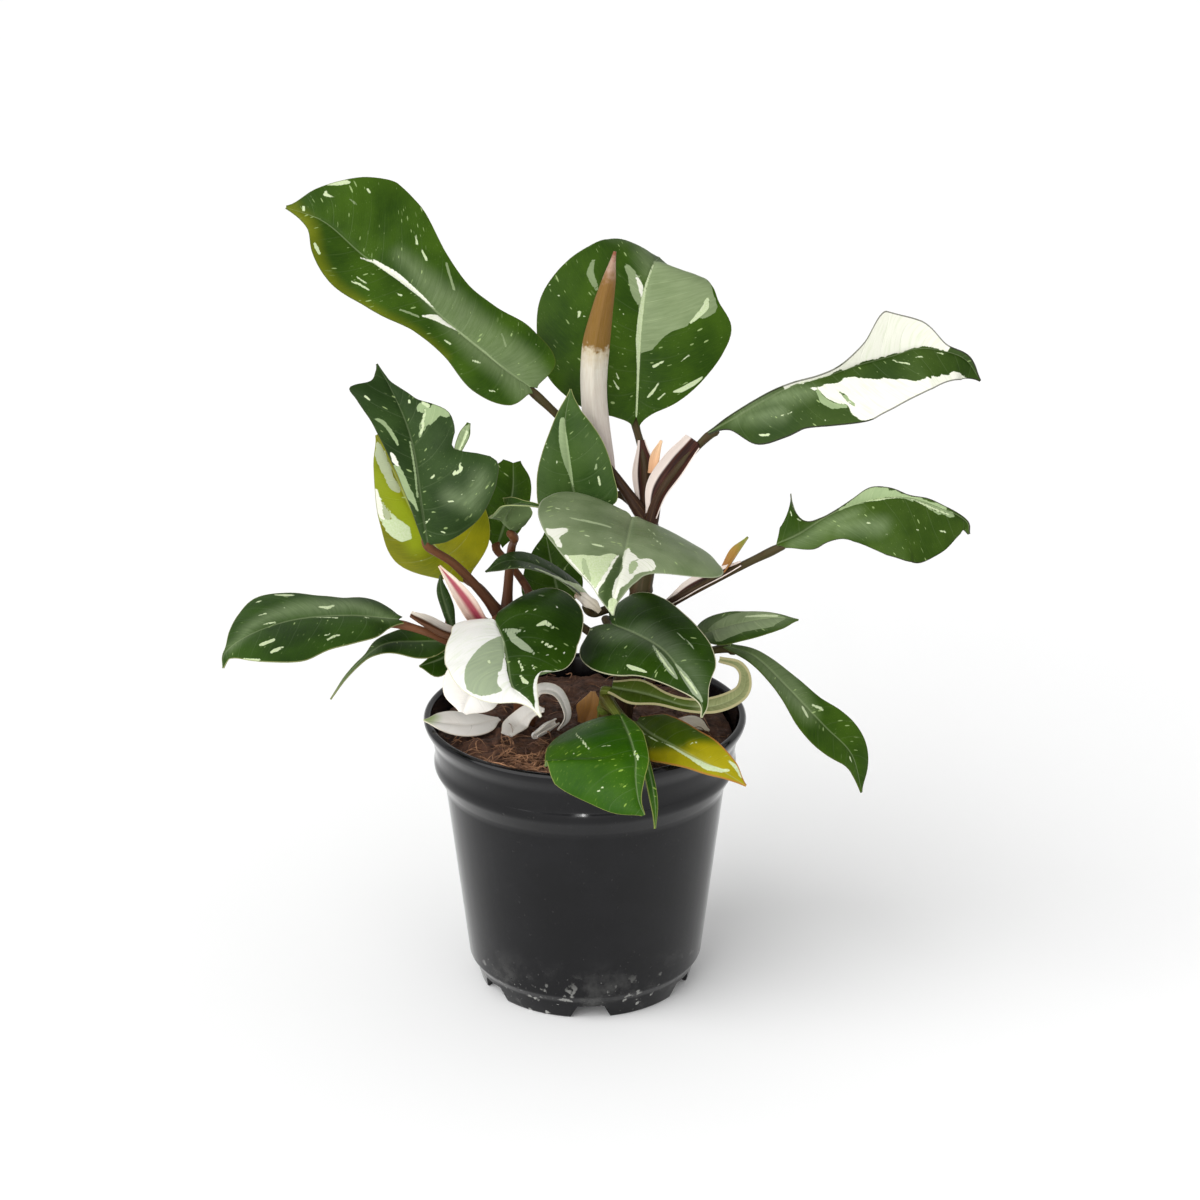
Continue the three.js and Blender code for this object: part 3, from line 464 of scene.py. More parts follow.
# Loose coir fibres lie on the soil, bent and crossed, and thickest at the front left, where some climb
# on to the lip. Each is a thin three-sided strand.
FIBRES = 520
strands = []
for n in range(FIBRES):
    if n % 5 < 3:
        cx, cy = chance.normal(-14, 13), chance.normal(-42, 9)
    else:
        cx, cy = chance.uniform(-50, 50, 2)
    reach, heading, bend = chance.uniform(4, 15), chance.uniform(0, 2 * np.pi), chance.normal(0, 1.0)
    s = np.linspace(-0.5, 0.5, 7)
    turn = heading + bend * s
    x, y = cx + np.cumsum(np.cos(turn)) * reach / 7, cy + np.cumsum(np.sin(turn)) * reach / 7
    far = np.maximum(np.hypot(x, y) / (58.6 if n % 5 == 0 and cy < -40 else 53.6), 1)
    x, y = x / far, y / far
    lift = 0.5 + chance.uniform(0, 2.2) * np.cos(s * np.pi) ** 2
    over_lip = 107.5 - 2.4 * np.maximum(57.3 - np.hypot(x, y), 0) + lift * 0.3
    line = np.column_stack([x, y, np.maximum(soil_height(x, y) + lift + 0.4, over_lip)])
    ahead = np.gradient(line, axis=0)
    ahead /= np.linalg.norm(ahead, axis=1, keepdims=True)
    strands.append(tube(line, ahead, chance.uniform(0.1, 0.27) * (1 - 0.6 * np.abs(2 * s) ** 2), 3))
fibre_points, fibre_faces = joined(strands)

fibre, write, shader = new_finish("coir_fibre")
place = write.add("TexCoord").outputs["Object"]
each = write.noise(place, 120, 1)
fine = write.noise(place, 900, 2)
tone = write.mix(write.step(each, 0.35, 0.65), (0.10, 0.042, 0.02), (0.34, 0.17, 0.085))
write.set(
    shader.inputs["Base Color"], write.mix(write.step(fine, 0.5, 0.7, 0, 0.5), tone, (0.08, 0.035, 0.02)),
)
write.set(shader.inputs["Roughness"], write.step(fine, 0.3, 0.7, 0.65, 0.85))
piece("coir_fibres", fibre_points, fibre_faces, None, fibre, smooth=60)

# A leaf blade is one thin sheet that is folded a little along its midrib and arched on both sides.
# The midrib is sunk above and stands out below, and side veins run from it to the margin.
HALF_BLADE = 0.35
VEIN_SPACING = 7.5


def along(values, t):
    """A smooth value along an evenly spaced list: between two of its values, the cubic whose end slopes are
    half the difference between their neighbours."""
    values = np.asarray(values, float)
    x = np.clip(t, 0, 1) * (len(values) - 1)
    i = np.minimum(x.astype(int), len(values) - 2)
    f = x - i
    a, b = values[i], values[i + 1]
    slope_a = (b - values[np.maximum(i - 1, 0)]) / 2
    slope_b = (values[np.minimum(i + 2, len(values) - 1)] - a) / 2
    straight = (2 * f**3 - 3 * f**2 + 1) * a + (3 * f**2 - 2 * f**3) * b
    return straight + (f**3 - 2 * f**2 + f) * slope_a + (f**3 - f**2) * slope_b


def leaf_sheet(leaf, t, s):
    """The blade's middle surface at share t of the midrib and share s of the half width, with its flat plan.
    A ray leaves the midrib across it, turned by lean * t - lobes * (1 - t) cubed degrees. On it a point goes
    out and up by the arc that starts at the fold angle and turns by the curl angle until the margin."""
    line, ahead, length = smooth_path(leaf["spine"], t[:, 0])
    face, face_tip = np.array(leaf["face"]), np.array(leaf.get("face_tip", leaf["face"]))
    up = face[None] * (1 - t[:, :1]) + face_tip[None] * t[:, :1]
    up = up - (up * ahead).sum(1, keepdims=True) * ahead
    up /= np.linalg.norm(up, axis=1, keepdims=True)
    side = np.cross(ahead, up)
    left = s < 0
    pick = lambda pair: np.where(left, along(pair[0], t), along(pair[1], t))
    width = pick((leaf["left"], leaf["right"]))
    rise, turn = np.radians(pick(leaf["fold"])), np.radians(pick(leaf["curl"]))
    turn = np.where(np.abs(turn) < 1e-4, 1e-4, turn)
    r = np.abs(s)
    out = width * (np.sin(rise + turn * r) - np.sin(rise)) / turn
    high = width * (np.cos(rise) - np.cos(rise + turn * r)) / turn
    sweep = np.radians(leaf["lean"] * t - leaf["lobes"] * (1 - t) ** 3)
    ray = side[:, None] * (np.sign(s) * np.cos(sweep))[..., None] + ahead[:, None] * np.sin(sweep)[..., None]
    points = line[:, None] + ray * out[..., None] + up[:, None] * high[..., None]
    plan = np.stack([t * length + width * r * np.sin(sweep), width * s * np.cos(sweep)], -1)
    return points, plan, width, length


def to_stroke(plan, stroke):
    """Distance in the plan to a painted stroke, less its half width there: below zero is inside."""
    best = np.full(plan.shape[:2], 50.0)
    for (x0, y0, r0), (x1, y1, r1) in zip(stroke[:-1], stroke[1:]):
        d = np.array([x1 - x0, y1 - y0])
        h = np.clip(((plan - [x0, y0]) @ d) / max(d @ d, 1e-9), 0, 1)
        gap = np.linalg.norm(plan - [x0, y0] - h[..., None] * d, axis=-1)
        best = np.minimum(best, gap - (r0 + (r1 - r0) * h))
    return best


def to_patch(plan, outline):
    """Signed distance in the plan to the edge of a patch: below zero is inside, by counting crossings."""
    inside = np.zeros(plan.shape[:2], bool)
    for (x0, y0), (x1, y1) in zip(outline, np.roll(outline, -1, axis=0)):
        crosses = (plan[..., 1] < y0) != (plan[..., 1] < y1)
        crossing = x0 + (plan[..., 1] - y0) * (x1 - x0) / np.where(y1 == y0, 1e-9, y1 - y0)
        inside ^= crosses & (plan[..., 0] < crossing)
    edge = to_stroke(plan, [(x, y, 0) for x, y in [*outline, outline[0]]])
    return np.where(inside, -edge, edge)


def between(corners, closed):
    """The corners of a marking with six even steps from each to the next, and back to the first if it is
    closed."""
    ends = np.roll(corners, -1, axis=0) if closed else corners[1:]
    steps = [a + (b - a) * k / 6 for a, b in zip(corners, ends) for k in range(6)]
    return np.array(steps if closed else [*steps, corners[-1]])


def sheet_faces(rows, columns):
    """The faces of a closed sheet whose upper and under sides are both a grid of points, row by row."""
    n, m = rows, columns
    i, j = np.meshgrid(np.arange(n - 1), np.arange(m - 1), indexing="ij")
    a = (i * m + j).ravel()
    tops = np.stack([a, a + 1, a + m + 1, a + m], -1)
    unders = np.stack([a, a + m, a + m + 1, a + 1], -1) + n * m
    start, right = range(m), range(2 * m - 1, n * m, m)
    end, left = range(n * m - 2, (n - 1) * m - 1, -1), range((n - 2) * m, 0, -m)
    edge = np.array([*start, *right, *end, *left])
    after = np.roll(edge, -1)
    rims = np.stack([edge, edge + n * m, after + n * m, after], -1)
    return [*tops.tolist(), *unders.tolist(), *rims.tolist()]


# The photograph is taken as 1200 x 1200 pixels. A sight line leaves the camera through each of them.
PHOTO = 1200
PIXELS_AT_1 = round(LENS / SENSOR * PHOTO)
eye = np.array(CAMERA_PLACE) * 1000
ahead_of_eye = np.array([0, math.cos(LOOKS_DOWN), -math.sin(LOOKS_DOWN)])
above_eye = np.array([0, math.sin(LOOKS_DOWN), math.cos(LOOKS_DOWN)])
right_of_eye = np.array([1.0, 0, 0])


def in_photo(points):
    """The photograph's pixels for points in mm: the shares of the distance ahead by which a point lies to the
    right and above, times the lens in pixels, from the middle of the frame."""
    away = points - eye
    far = away @ ahead_of_eye
    right, above = PIXELS_AT_1 * (away @ right_of_eye) / far, PIXELS_AT_1 * (away @ above_eye) / far
    return np.stack([PHOTO / 2 + right, PHOTO / 2 - above], -1)


def seen_at(u, v, depth):
    """The place in mm that the camera sees at a pixel of the photograph: where its sight line meets the
    upright plane y = depth."""
    right, above = (u - PHOTO / 2) / PIXELS_AT_1, (PHOTO / 2 - v) / PIXELS_AT_1
    sight = ahead_of_eye + right * right_of_eye + above * above_eye
    return tuple(np.round(eye + sight * (depth - eye[1]) / sight[1], 1))


def on_leaf(leaf, seen, to_midrib=False):
    """Pixels of the photograph as places (t, s) on a leaf: each takes the nearest of a fine grid of the
    leaf's points, as the camera sees them. One that lies over 4 pixels past the leaf is moved 6% further
    out, and a patch that ends at the midrib has its corners near it put just past it."""
    t, s = np.meshgrid(np.linspace(0, 1, 201), np.linspace(-1, 1, 121), indexing="ij")
    pixels = in_photo(leaf_sheet(leaf, t, s)[0].reshape(-1, 3))
    placed = []
    for u, v, *half_width in seen:
        gap = np.hypot(*(pixels - [u, v]).T)
        nearest = gap.argmin()
        along_it, across_it = round(t.flat[nearest], 2), round(s.flat[nearest], 2)
        if gap[nearest] > 4:
            across_it = round(1.06 * across_it, 2)
        if to_midrib and abs(across_it) < 0.14:
            across_it = -0.03
        placed.append((along_it, across_it, *half_width))
    return placed


# The first wash colour is a grey-green wash, partly the leaf's own grey and partly a painted sheen.
COLOURS = ("cream", "pale", "sage", "mist", "gold")
WASHES = ("mist", "gold")
leaf_starts = {}


def blade(
    name, finish, slot, marks=(), seen=(), under=(), wave=0.5, grid=0.9, torn=1.0, added=False, **leaf,
):
    """A leaf blade as a closed sheet. Its markings are strokes (t, s, half width in mm) and patches (t, s),
    painted one over another: first those under, then those seen, whose t and s stand as pixels of the
    photograph, then the rest. The mesh holds for each colour the distance in mm to where that colour starts.
    An added blade stands for no CAD node."""
    leaf_starts[name] = (leaf["spine"], leaf["face"])
    seed = len(leaf_starts)
    leaf.setdefault("lobes", 55)
    leaf.setdefault("lean", 25)
    for key, usual in (("fold", (20, 12)), ("curl", (-25, -20))):
        given = leaf.get(key, usual)
        leaf[key] = given if isinstance(given[0], (list, tuple)) else (given, given)
    length = smooth_path(leaf["spine"], [0, 1])[2]
    rows = max(int(length / grid), 12)
    columns = max(int(max(leaf["left"] + leaf["right"]) / grid), 5)
    x = np.linspace(0, 1, rows + 1)
    t, s = np.meshgrid(x - 0.05 * np.sin(2 * np.pi * x), np.linspace(-1, 1, 2 * columns + 1), indexing="ij")
    points, plan, width, length = leaf_sheet(leaf, t, s)
    r, reach = np.abs(s), width * np.abs(s)
    slant = 0.5 * reach * (0.5 + 0.5 * r) * np.minimum(1, t / 0.3 + 0.2)
    vein = t * length - slant + np.where(s > 0, 3.0, 0.0)

    # The relief: a sunk midrib, side veins that fade towards the margin, and a slightly wavy margin.
    crosswise, lengthwise = np.gradient(points, axis=1), np.gradient(points, axis=0)
    up = np.cross(crosswise, lengthwise)
    up /= np.maximum(np.linalg.norm(up, axis=-1, keepdims=True), 1e-12)
    to_vein = VEIN_SPACING * (0.5 - np.abs((vein / VEIN_SPACING) % 1 - 0.5))
    quilt = 0.14 * np.exp(-(to_vein**2) / 1.2) * (1 - r**2) * np.minimum(reach / 4, 1)
    waves = lattice_noise(t * length / 13 + seed * 7, np.sign(s) * 3 + 20.5, seed) - 0.5
    waves = waves + 0.4 * (lattice_noise(t * length / 5 + seed * 7, np.sign(s) * 3 + 40.5, seed) - 0.5)
    waves = 2 * wave * waves * r**3 * np.minimum(width / 8, 1) * np.minimum(t * (1 - t) * 12, 1)
    narrow = np.minimum(np.maximum(width, 0.3) / 8, 1)
    groove = 0.3 * np.exp(-((reach / 0.8) ** 2)) * narrow
    ridge = (1.0 - 0.75 * t) * np.exp(-((reach / (1.25 - 0.7 * t)) ** 2)) * narrow
    half = HALF_BLADE - 0.17 * r**2
    surface = points + up * (waves - quilt)[..., None]
    above = surface + up * (half - groove)[..., None]
    below = surface - up * (half + ridge)[..., None]

    # The markings, in the plan.
    fields = {colour: np.full(t.shape, 50.0) for colour in COLOURS}
    seen = [(colour, on_leaf(leaf, shape, *to_midrib)) for colour, shape, *to_midrib in seen]
    for colour, shape in [*under, *seen, *marks]:
        shape = between(np.array(shape, float), len(shape[0]) == 2)
        at = leaf_sheet(leaf, np.repeat(shape[:, :1], 2, 1), np.repeat(shape[:, 1:2], 2, 1))[1][:, 0]
        if shape.shape[1] == 3:
            field = to_stroke(plan, np.column_stack([at, shape[:, 2]]))
        else:
            ragged = lattice_noise(vein / 2.2 + 30, reach / 14 + 9 + seed, seed) - 0.5
            ragged = 1.8 * ragged + 0.6 * (lattice_noise(vein / 0.9 + 30, reach / 8 + 9, seed) - 0.5)
            field = to_patch(plan, at) + torn * ragged
        for other in COLOURS:
            if other == colour:
                fields[other] = np.minimum(fields[other], field)
            elif colour not in WASHES and other not in WASHES:
                fields[other] = np.maximum(fields[other], -field)

    n, m = t.shape
    all_points = np.vstack([above.reshape(-1, 3), below.reshape(-1, 3)])
    made = piece(
        name.replace("leaf_", "blade_") if name.startswith("leaf_") else "thin_" + name, all_points,
        sheet_faces(n, m), None if added else name, finish,
    )
    rib = reach / (0.2 + 0.75 * (1 - t) ** 0.8)
    numbers = {**fields, "rib": rib, "edge": (1 - r) * width, "along": t, "across": s}
    for key, value in numbers.items():
        made.data.attributes.new(key, "FLOAT", "POINT").data.foreach_set(
            "value", np.tile(value.ravel(), 2).astype(np.float32),
        )
    under = np.repeat([0.0, 1.0], n * m).astype(np.float32)
    made.data.attributes.new("under", "FLOAT", "POINT").data.foreach_set("value", under)
    corners = np.zeros(len(made.data.loops), np.int32)
    made.data.loops.foreach_get("vertex_index", corners)
    for key, u, v in (("plan", plan[..., 0], plan[..., 1]), ("veins", vein, reach * np.sign(s))):
        flat = np.tile(np.stack([u / 10 + 13 * seed, v / 10], -1).reshape(-1, 2), (2, 1))
        layer = made.data.uv_layers.new(name=key)
        layer.data.foreach_set("uv", flat[corners].ravel().astype(np.float32))
    return made


# Leaf tissue, as a group that every blade's finish uses: green with side veins and fine venation, painted
# with grey-green, pale green and cream sectors whose edges are ragged along the veins, and random flecks.
# A grey-green wash, mostly along the midrib, is partly the leaf's own grey and partly a painted sheen.
tissue, write, given, result = new_group(
    "leaf_tissue",
    {
        "Deep": (0.010, 0.030, 0.001), "Fresh": (0.026, 0.066, 0.003), "Sage": (0.25, 0.33, 0.165),
        "Pale": (0.44, 0.53, 0.29), "Cream": (0.70, 0.70, 0.61), "Margin": (0.25, 0.26, 0.10),
        "Gold": (0.17, 0.215, 0.03), "Fleck": (0.38, 0.50, 0.20),
        # Mist is the share of the grey-green wash, which is partly a painted sheen.
        "Flecks": 0.5, "Specks": 0.5, "Mist": 0.5, "Rib": 0.2, "Margin Width": 0.25, "Gloss": 0.42,
        "Torn": 1.0,
    },
    {"Color": "Color", "Roughness": "Float", "Height": "Float"},
)
veins = write.add("UVMap", uv_map="veins").outputs[0]
plan = write.add("UVMap", uv_map="plan").outputs[0]
vein_x = write.add("SeparateXYZ", veins).outputs
long_streaks = write.noise(write.scaled(veins, (11, 1.3, 1)), 1, 2)
fine_streaks = write.noise(write.scaled(veins, (34, 2.2, 1)), 1, 2)
clouds = write.noise(write.scaled(plan, (0.55, 0.55, 1)), 1, 3)
grain = write.noise(write.scaled(plan, (16, 16, 1)), 1, 3)
ragged = write.math(
    "ADD", write.math("MULTIPLY", write.math("SUBTRACT", long_streaks, 0.5), 0.9),
    write.math("MULTIPLY", write.math("SUBTRACT", grain, 0.5), 0.45),
)
ragged = write.math("MULTIPLY", ragged, given["Torn"])


def painted(colour, soft=0.1):
    """Where a colour is: its distance field, made ragged, is below zero."""
    return write.step(write.math("ADD", write.attribute(colour), ragged), soft, -soft)


phase = write.math("FRACT", write.math("DIVIDE", vein_x[0], VEIN_SPACING / 10))
from_vein = write.math("ABSOLUTE", write.math("SUBTRACT", phase, 0.5))
away = write.math("ABSOLUTE", vein_x[1])
vein_line = write.math(
    "MULTIPLY", write.step(from_vein, 0.455, 0.495), write.step(away, 2.6, 0.4, 0.0, 1.0),
)
green = write.mix(write.step(clouds, 0.3, 0.72), given["Deep"], given["Fresh"])
green = write.mix(write.step(fine_streaks, 0.35, 0.75, 0.0, 0.35), green, given["Fresh"])
green = write.mix(write.math("MULTIPLY", vein_line, 0.07), green, given["Sage"])
# Where the wash marks lie, mostly along the midrib, the green turns grey-green: partly the leaf's own grey,
# partly a painted sheen.
grey_wash_and_sheen_share = write.math(
    "MULTIPLY", write.step(write.attribute("mist"), 4.5, -4.5),
    write.step(long_streaks, 0.25, 0.75, 0.7, 1.0),
)
green = write.mix(write.math("MULTIPLY", grey_wash_and_sheen_share, given["Mist"]), green, given["Sage"])
golden = write.math(
    "MULTIPLY", write.step(write.attribute("gold"), 3.0, -3.0), write.step(clouds, 0.2, 0.7, 0.6, 1.0),
)
green = write.mix(golden, green, given["Gold"])

crowd = write.step(write.noise(write.scaled(plan, (0.9, 0.9, 1), (7, 3, 0)), 1, 2), 0.42, 0.68, 0.0, 0.075)
fleck = write.noise(write.scaled(veins, (14, 3.0, 1), (3, 5, 0)), 1, 1.5)
fleck = write.step(write.math("ADD", fleck, write.math("MULTIPLY", crowd, given["Flecks"])), 0.75, 0.775)
fleck = write.math("MULTIPLY", fleck, write.math("GREATER_THAN", given["Flecks"], 0.01))
dots = write.add("TexVoronoi", write.scaled(veins, (10, 3.6, 1)), _Scale=1.0, _Randomness=1.0)
chance = write.add("SeparateXYZ", dots.outputs["Color"]).outputs
chosen = write.math(
    "LESS_THAN", chance[0],
    write.math(
        "MULTIPLY", write.math("MULTIPLY", given["Specks"], 0.16),
        write.step(clouds, 0.25, 0.65, 0.25, 1.6),
    ),
)
size = write.step(chance[1], 0.0, 1.0, 0.1, 0.34)
dot = write.math(
    "MULTIPLY", write.step(write.math("SUBTRACT", dots.outputs["Distance"], size), 0.06, -0.06),
    write.step(chance[2], 0.2, 1.0, 0.1, 0.6),
)
dot = write.math("MULTIPLY", dot, chosen)
dust = write.step(write.noise(write.scaled(veins, (30, 11, 1), (9, 2, 0)), 1, 1), 0.68, 0.76, 0.0, 0.22)
dust = write.math("MULTIPLY", write.math("MULTIPLY", dust, given["Specks"]), write.step(clouds, 0.35, 0.65))
light = write.math("MAXIMUM", write.math("MAXIMUM", write.math("MULTIPLY", fleck, 0.45), dot), dust)
green = write.mix(light, green, given["Fleck"])

sage = write.mix(write.step(long_streaks, 0.3, 0.7, 0.0, 0.14), given["Sage"], given["Pale"])
sage = write.mix(write.math("MULTIPLY", vein_line, 0.16), sage, given["Pale"])
sage = write.mix(write.step(clouds, 0.4, 0.7, 0.0, 0.18), sage, given["Fresh"])
cream = write.mix(write.step(long_streaks, 0.42, 0.8, 0.0, 0.35), given["Cream"], given["Pale"])
tone = write.mix(painted("sage"), green, sage)
tone = write.mix(
    painted("pale"), tone, write.mix(write.step(grain, 0.35, 0.7, 0.0, 0.3), given["Pale"], given["Cream"]),
)
tone = write.mix(write.math("MULTIPLY", painted("cream", 0.3), 0.65), tone, given["Pale"])
tone = write.mix(painted("cream"), tone, cream)
rib = write.step(write.attribute("rib"), 1.0, 0.25)
tone = write.mix(write.math("MULTIPLY", rib, given["Rib"]), tone, given["Pale"])
margin = write.math("LESS_THAN", write.attribute("edge"), given["Margin Width"])
tone = write.mix(write.math("MULTIPLY", margin, 0.75), tone, given["Margin"])
under = write.attribute("under")
tone = write.mix(write.math("MULTIPLY", under, 0.5), tone, write.mix(0.35, given["Fresh"], given["Pale"]))
write.set(result["Color"], tone)
shine = write.math("ADD", given["Gloss"], write.step(grain, 0.3, 0.7, -0.04, 0.06))
write.set(result["Roughness"], write.math("ADD", shine, write.math("MULTIPLY", under, 0.2)))
relief = write.math("ADD", write.math("MULTIPLY", fine_streaks, 0.5), write.math("MULTIPLY", grain, 0.35))
write.set(result["Height"], write.math("SUBTRACT", relief, write.math("MULTIPLY", vein_line, 0.5)))


def leaf_finish(name, **values):
    """A blade's material: leaf tissue with its own colours and amounts, and a waxy shine."""
    material, write, shader = new_finish(name)
    out = place_group(write, tissue, **values)
    write.set(shader.inputs["Base Color"], out["Color"])
    write.set(shader.inputs["Roughness"], out["Roughness"])
    shader.inputs["Specular IOR Level"].default_value = 0.11
    bump(write, shader, out["Height"], 0.00025, 0.5)
    return material


dark_leaf = leaf_finish("dark_leaf")

# The big leaves at the top stand on long stalks of the middle shoot. They are mid-green, greyer along the
# midrib, where the grey is partly a painted sheen, and splashed with white streaks and flecks that follow
# the side veins.
upper_leaf = leaf_finish(
    "upper_leaf", Deep=(0.015, 0.042, 0.001), Fresh=(0.038, 0.084, 0.003), Sage=(0.18, 0.235, 0.115),
    Flecks=0.9, Specks=0.8,
    Margin=(0.06, 0.08, 0.01), Gold=(0.12, 0.14, 0.003), Mist=0.6, Torn=0.6,
)
upright_leaf = leaf_finish(
    "upright_leaf", Deep=(0.018, 0.048, 0.004), Fresh=(0.046, 0.090, 0.016), Flecks=0.6, Torn=0.6,
)
blade(
    "leaf_upper_left", upper_leaf, "leaf",
    spine=[(-20, 15, 228), (-32, 19, 236), (-50, 24, 250), (-64, 29, 262), (-80, 33, 272), (-94, 35, 284),
        (-108, 37, 289)],
    face=(0.3, -0.78, 0.55), face_tip=(0.1, -0.85, 0.5),
    left=[3, 15, 17, 12, 12, 16, 17, 17, 13, 5, 0.5],
    right=[3, 19, 21, 17, 16, 19, 28, 30, 24, 11, 0.8],
    fold=((18, 14), (16, 10)), curl=((-22, -10), (-24, -14)), lobes=60, lean=20, wave=0.6,
    seen=[
        ("mist", [(400, 255, 1.5), (447.5, 305, 6), (485, 345, 8), (527.5, 382.5, 8)]),
        ("cream", [(358, 256.25, 0.15), (372.5, 261.25, 0.6), (393.75, 274.5, 1.2), (410, 287.5, 0.95),
            (427.5, 302.5, 0.4), (436.25, 311.25, 0.1)]),
        ("cream", [(419.5, 315, 0.15), (430, 318, 0.8), (436.25, 318, 1.3), (445, 323.75, 0.8),
            (456.25, 330, 0.2)]),
        ("sage", [(456.25, 330, 0.4), (485, 352.5, 0.35), (518.75, 380, 0.35)]),
        ("pale", [(330, 183.5, 0.4), (340, 182, 0.9), (347.5, 181.5, 0.7)]),
        ("pale", [(323, 192, 0.3), (327, 194.5, 0.6), (330, 197.5, 0.3)]),
        ("pale", [(315, 245, 0.4), (317.5, 250.5, 0.7), (320, 255, 0.4)]),
        ("pale", [(415.5, 235, 0.2), (417.5, 245, 0.45)]),
        ("pale", [(422.5, 250, 0.3), (425, 258.75, 0.4)]),
        ("pale", [(366.5, 189, 0.4), (369.25, 193, 0.5)]),
        ("sage", [(348.75, 198.75, 0.2), (357.5, 205.5, 0.35)]),
        ("pale", [(352, 282, 0.3), (360, 285.5, 0.5), (368, 290, 0.3)]),
        ("pale", [(357.5, 278, 0.25), (365, 283, 0.35)]),
        ("pale", [(395.5, 293, 0.25), (402, 296.25, 0.4)]),
        ("pale", [(473, 361.25, 0.35), (478.75, 363, 0.6)]),
        ("sage", [(400, 310, 0.4), (417.5, 316.25, 0.4)]),
        ("sage", [(501.25, 333.75, 0.3), (504.5, 345, 0.4)]),
        ("pale", [(535, 343, 0.45), (537.5, 346, 0.45)]),
        ("pale", [(303.75, 207.5, 0.5), (305.5, 210.5, 0.5)]),
        ("pale", [(490, 391.25, 0.3), (496.25, 392, 0.3)]),
        ("pale", [(446.25, 342.5, 0.4), (451.25, 345, 0.4)]),
        ("sage", [(447.5, 265, 0.4), (453.75, 290, 0.5)]),
    ],
    marks=[
        ("gold", [(0.98, -0.9, 3), (0.85, -0.95, 3.5), (0.6, -1, 1.5), (0.3, -1, 1)]),
        ("gold", [(0.97, 0.5, 1.5), (0.99, 0, 2)]),
    ],
)
blade(
    "leaf_upper_centre", upper_leaf, "leaf",
    spine=[(19, 34, 211), (20, 44, 226), (21, 54, 240), (23, 62, 252), (26, 70, 260), (28, 80, 260)],
    face=(0.05, -0.85, 0.5), face_tip=(0.1, -0.85, 0.5),
    left=[4, 12, 26, 36, 39, 39, 34, 26, 17, 0.5],
    right=[4, 9, 18, 26, 32, 34, 28, 24, 16, 0.5],
    fold=((14, 10), (14, 8)), curl=(-26, -20), lobes=70, lean=12, wave=0.7, torn=0.5,
    seen=[
        ("mist", [(637.5, 255), (655, 255), (660, 263.75), (650, 277.5), (643.75, 280), (640, 267.5)]),
        ("sage", [(643, 356.25), (645, 340), (642, 325), (644.5, 305), (647.5, 292.5), (655, 277.5),
            (660, 263.75), (670, 263), (685, 260), (696.25, 265), (705, 278.75), (713.75, 295),
            (716.25, 306.25), (714.5, 313), (705, 316.25), (695, 321.25), (685, 326.25),
            (672.5, 331.25), (662.5, 337.5), (652.5, 350)], True),
        ("sage", [(623, 262.5), (630, 266.25), (640, 276.25), (643.75, 285.5), (643, 302.5),
            (640.75, 318.75), (636.25, 302.5), (630, 290), (626.25, 277.5)]),
        ("cream", [(636.25, 275.5, 0.4), (640, 285, 1), (641.75, 297.5, 0.4)]),
        ("sage", [(593, 260, 0.6), (590.75, 272.5, 1.3), (594.5, 285, 1.1), (597.5, 291.25, 0.5)]),
        ("pale", [(707.5, 299.5, 0.6), (705.5, 307.5, 1.3), (697, 316.25, 0.9), (690, 323, 0.4)]),
        ("pale", [(688, 268.75, 0.8), (690, 273.75, 0.7)]),
        ("pale", [(705, 375, 0.2), (692.5, 383.75, 0.9), (680, 391.25, 0.8), (673, 393, 0.3)]),
        ("pale", [(658.75, 383.75, 0.2), (652.5, 392.5, 0.55), (647.5, 398, 0.3)]),
        ("pale", [(663.75, 361.25, 0.3), (653.75, 366.25, 0.6)]),
        ("pale", [(665, 393.75, 0.2), (658.75, 398.75, 0.4)]),
        ("pale", [(680, 360, 0.2), (690, 356.25, 0.3)]),
        ("pale", [(576.25, 310.5, 0.35), (585, 316.75, 0.5)]),
        ("pale", [(567.5, 322.5, 0.35), (571.25, 323.75, 0.4)]),
        ("pale", [(577, 319.5, 0.4), (580.5, 315, 0.3)]),
        ("pale", [(548.75, 283.75, 0.3), (551.25, 285.5, 0.3)]),
        ("pale", [(545, 292.5, 0.3), (548.75, 295, 0.3)]),
        ("pale", [(557.5, 292.5, 0.25), (559.5, 297.5, 0.3)]),
        ("pale", [(560, 307.5, 0.25), (562.5, 312.5, 0.3)]),
        ("pale", [(620, 310, 0.25), (625, 316.25, 0.4)]),
        ("pale", [(612.5, 380, 0.3), (618.75, 388.75, 0.4)]),
        ("pale", [(616.25, 373.75, 0.2), (618.75, 380, 0.25)]),
    ],
    marks=[
        ("pale", [(0, 0, 0.4), (0.25, -0.01, 0.5), (0.42, -0.02, 1), (0.58, -0.02, 0.9), (0.7, -0.02, 0.5),
            (0.85, -0.01, 0.25)]),
        ("pale", [(0, 0, 0.3), (0.3, 0, 0.25), (0.6, 0, 0.2)]),
    ],
)
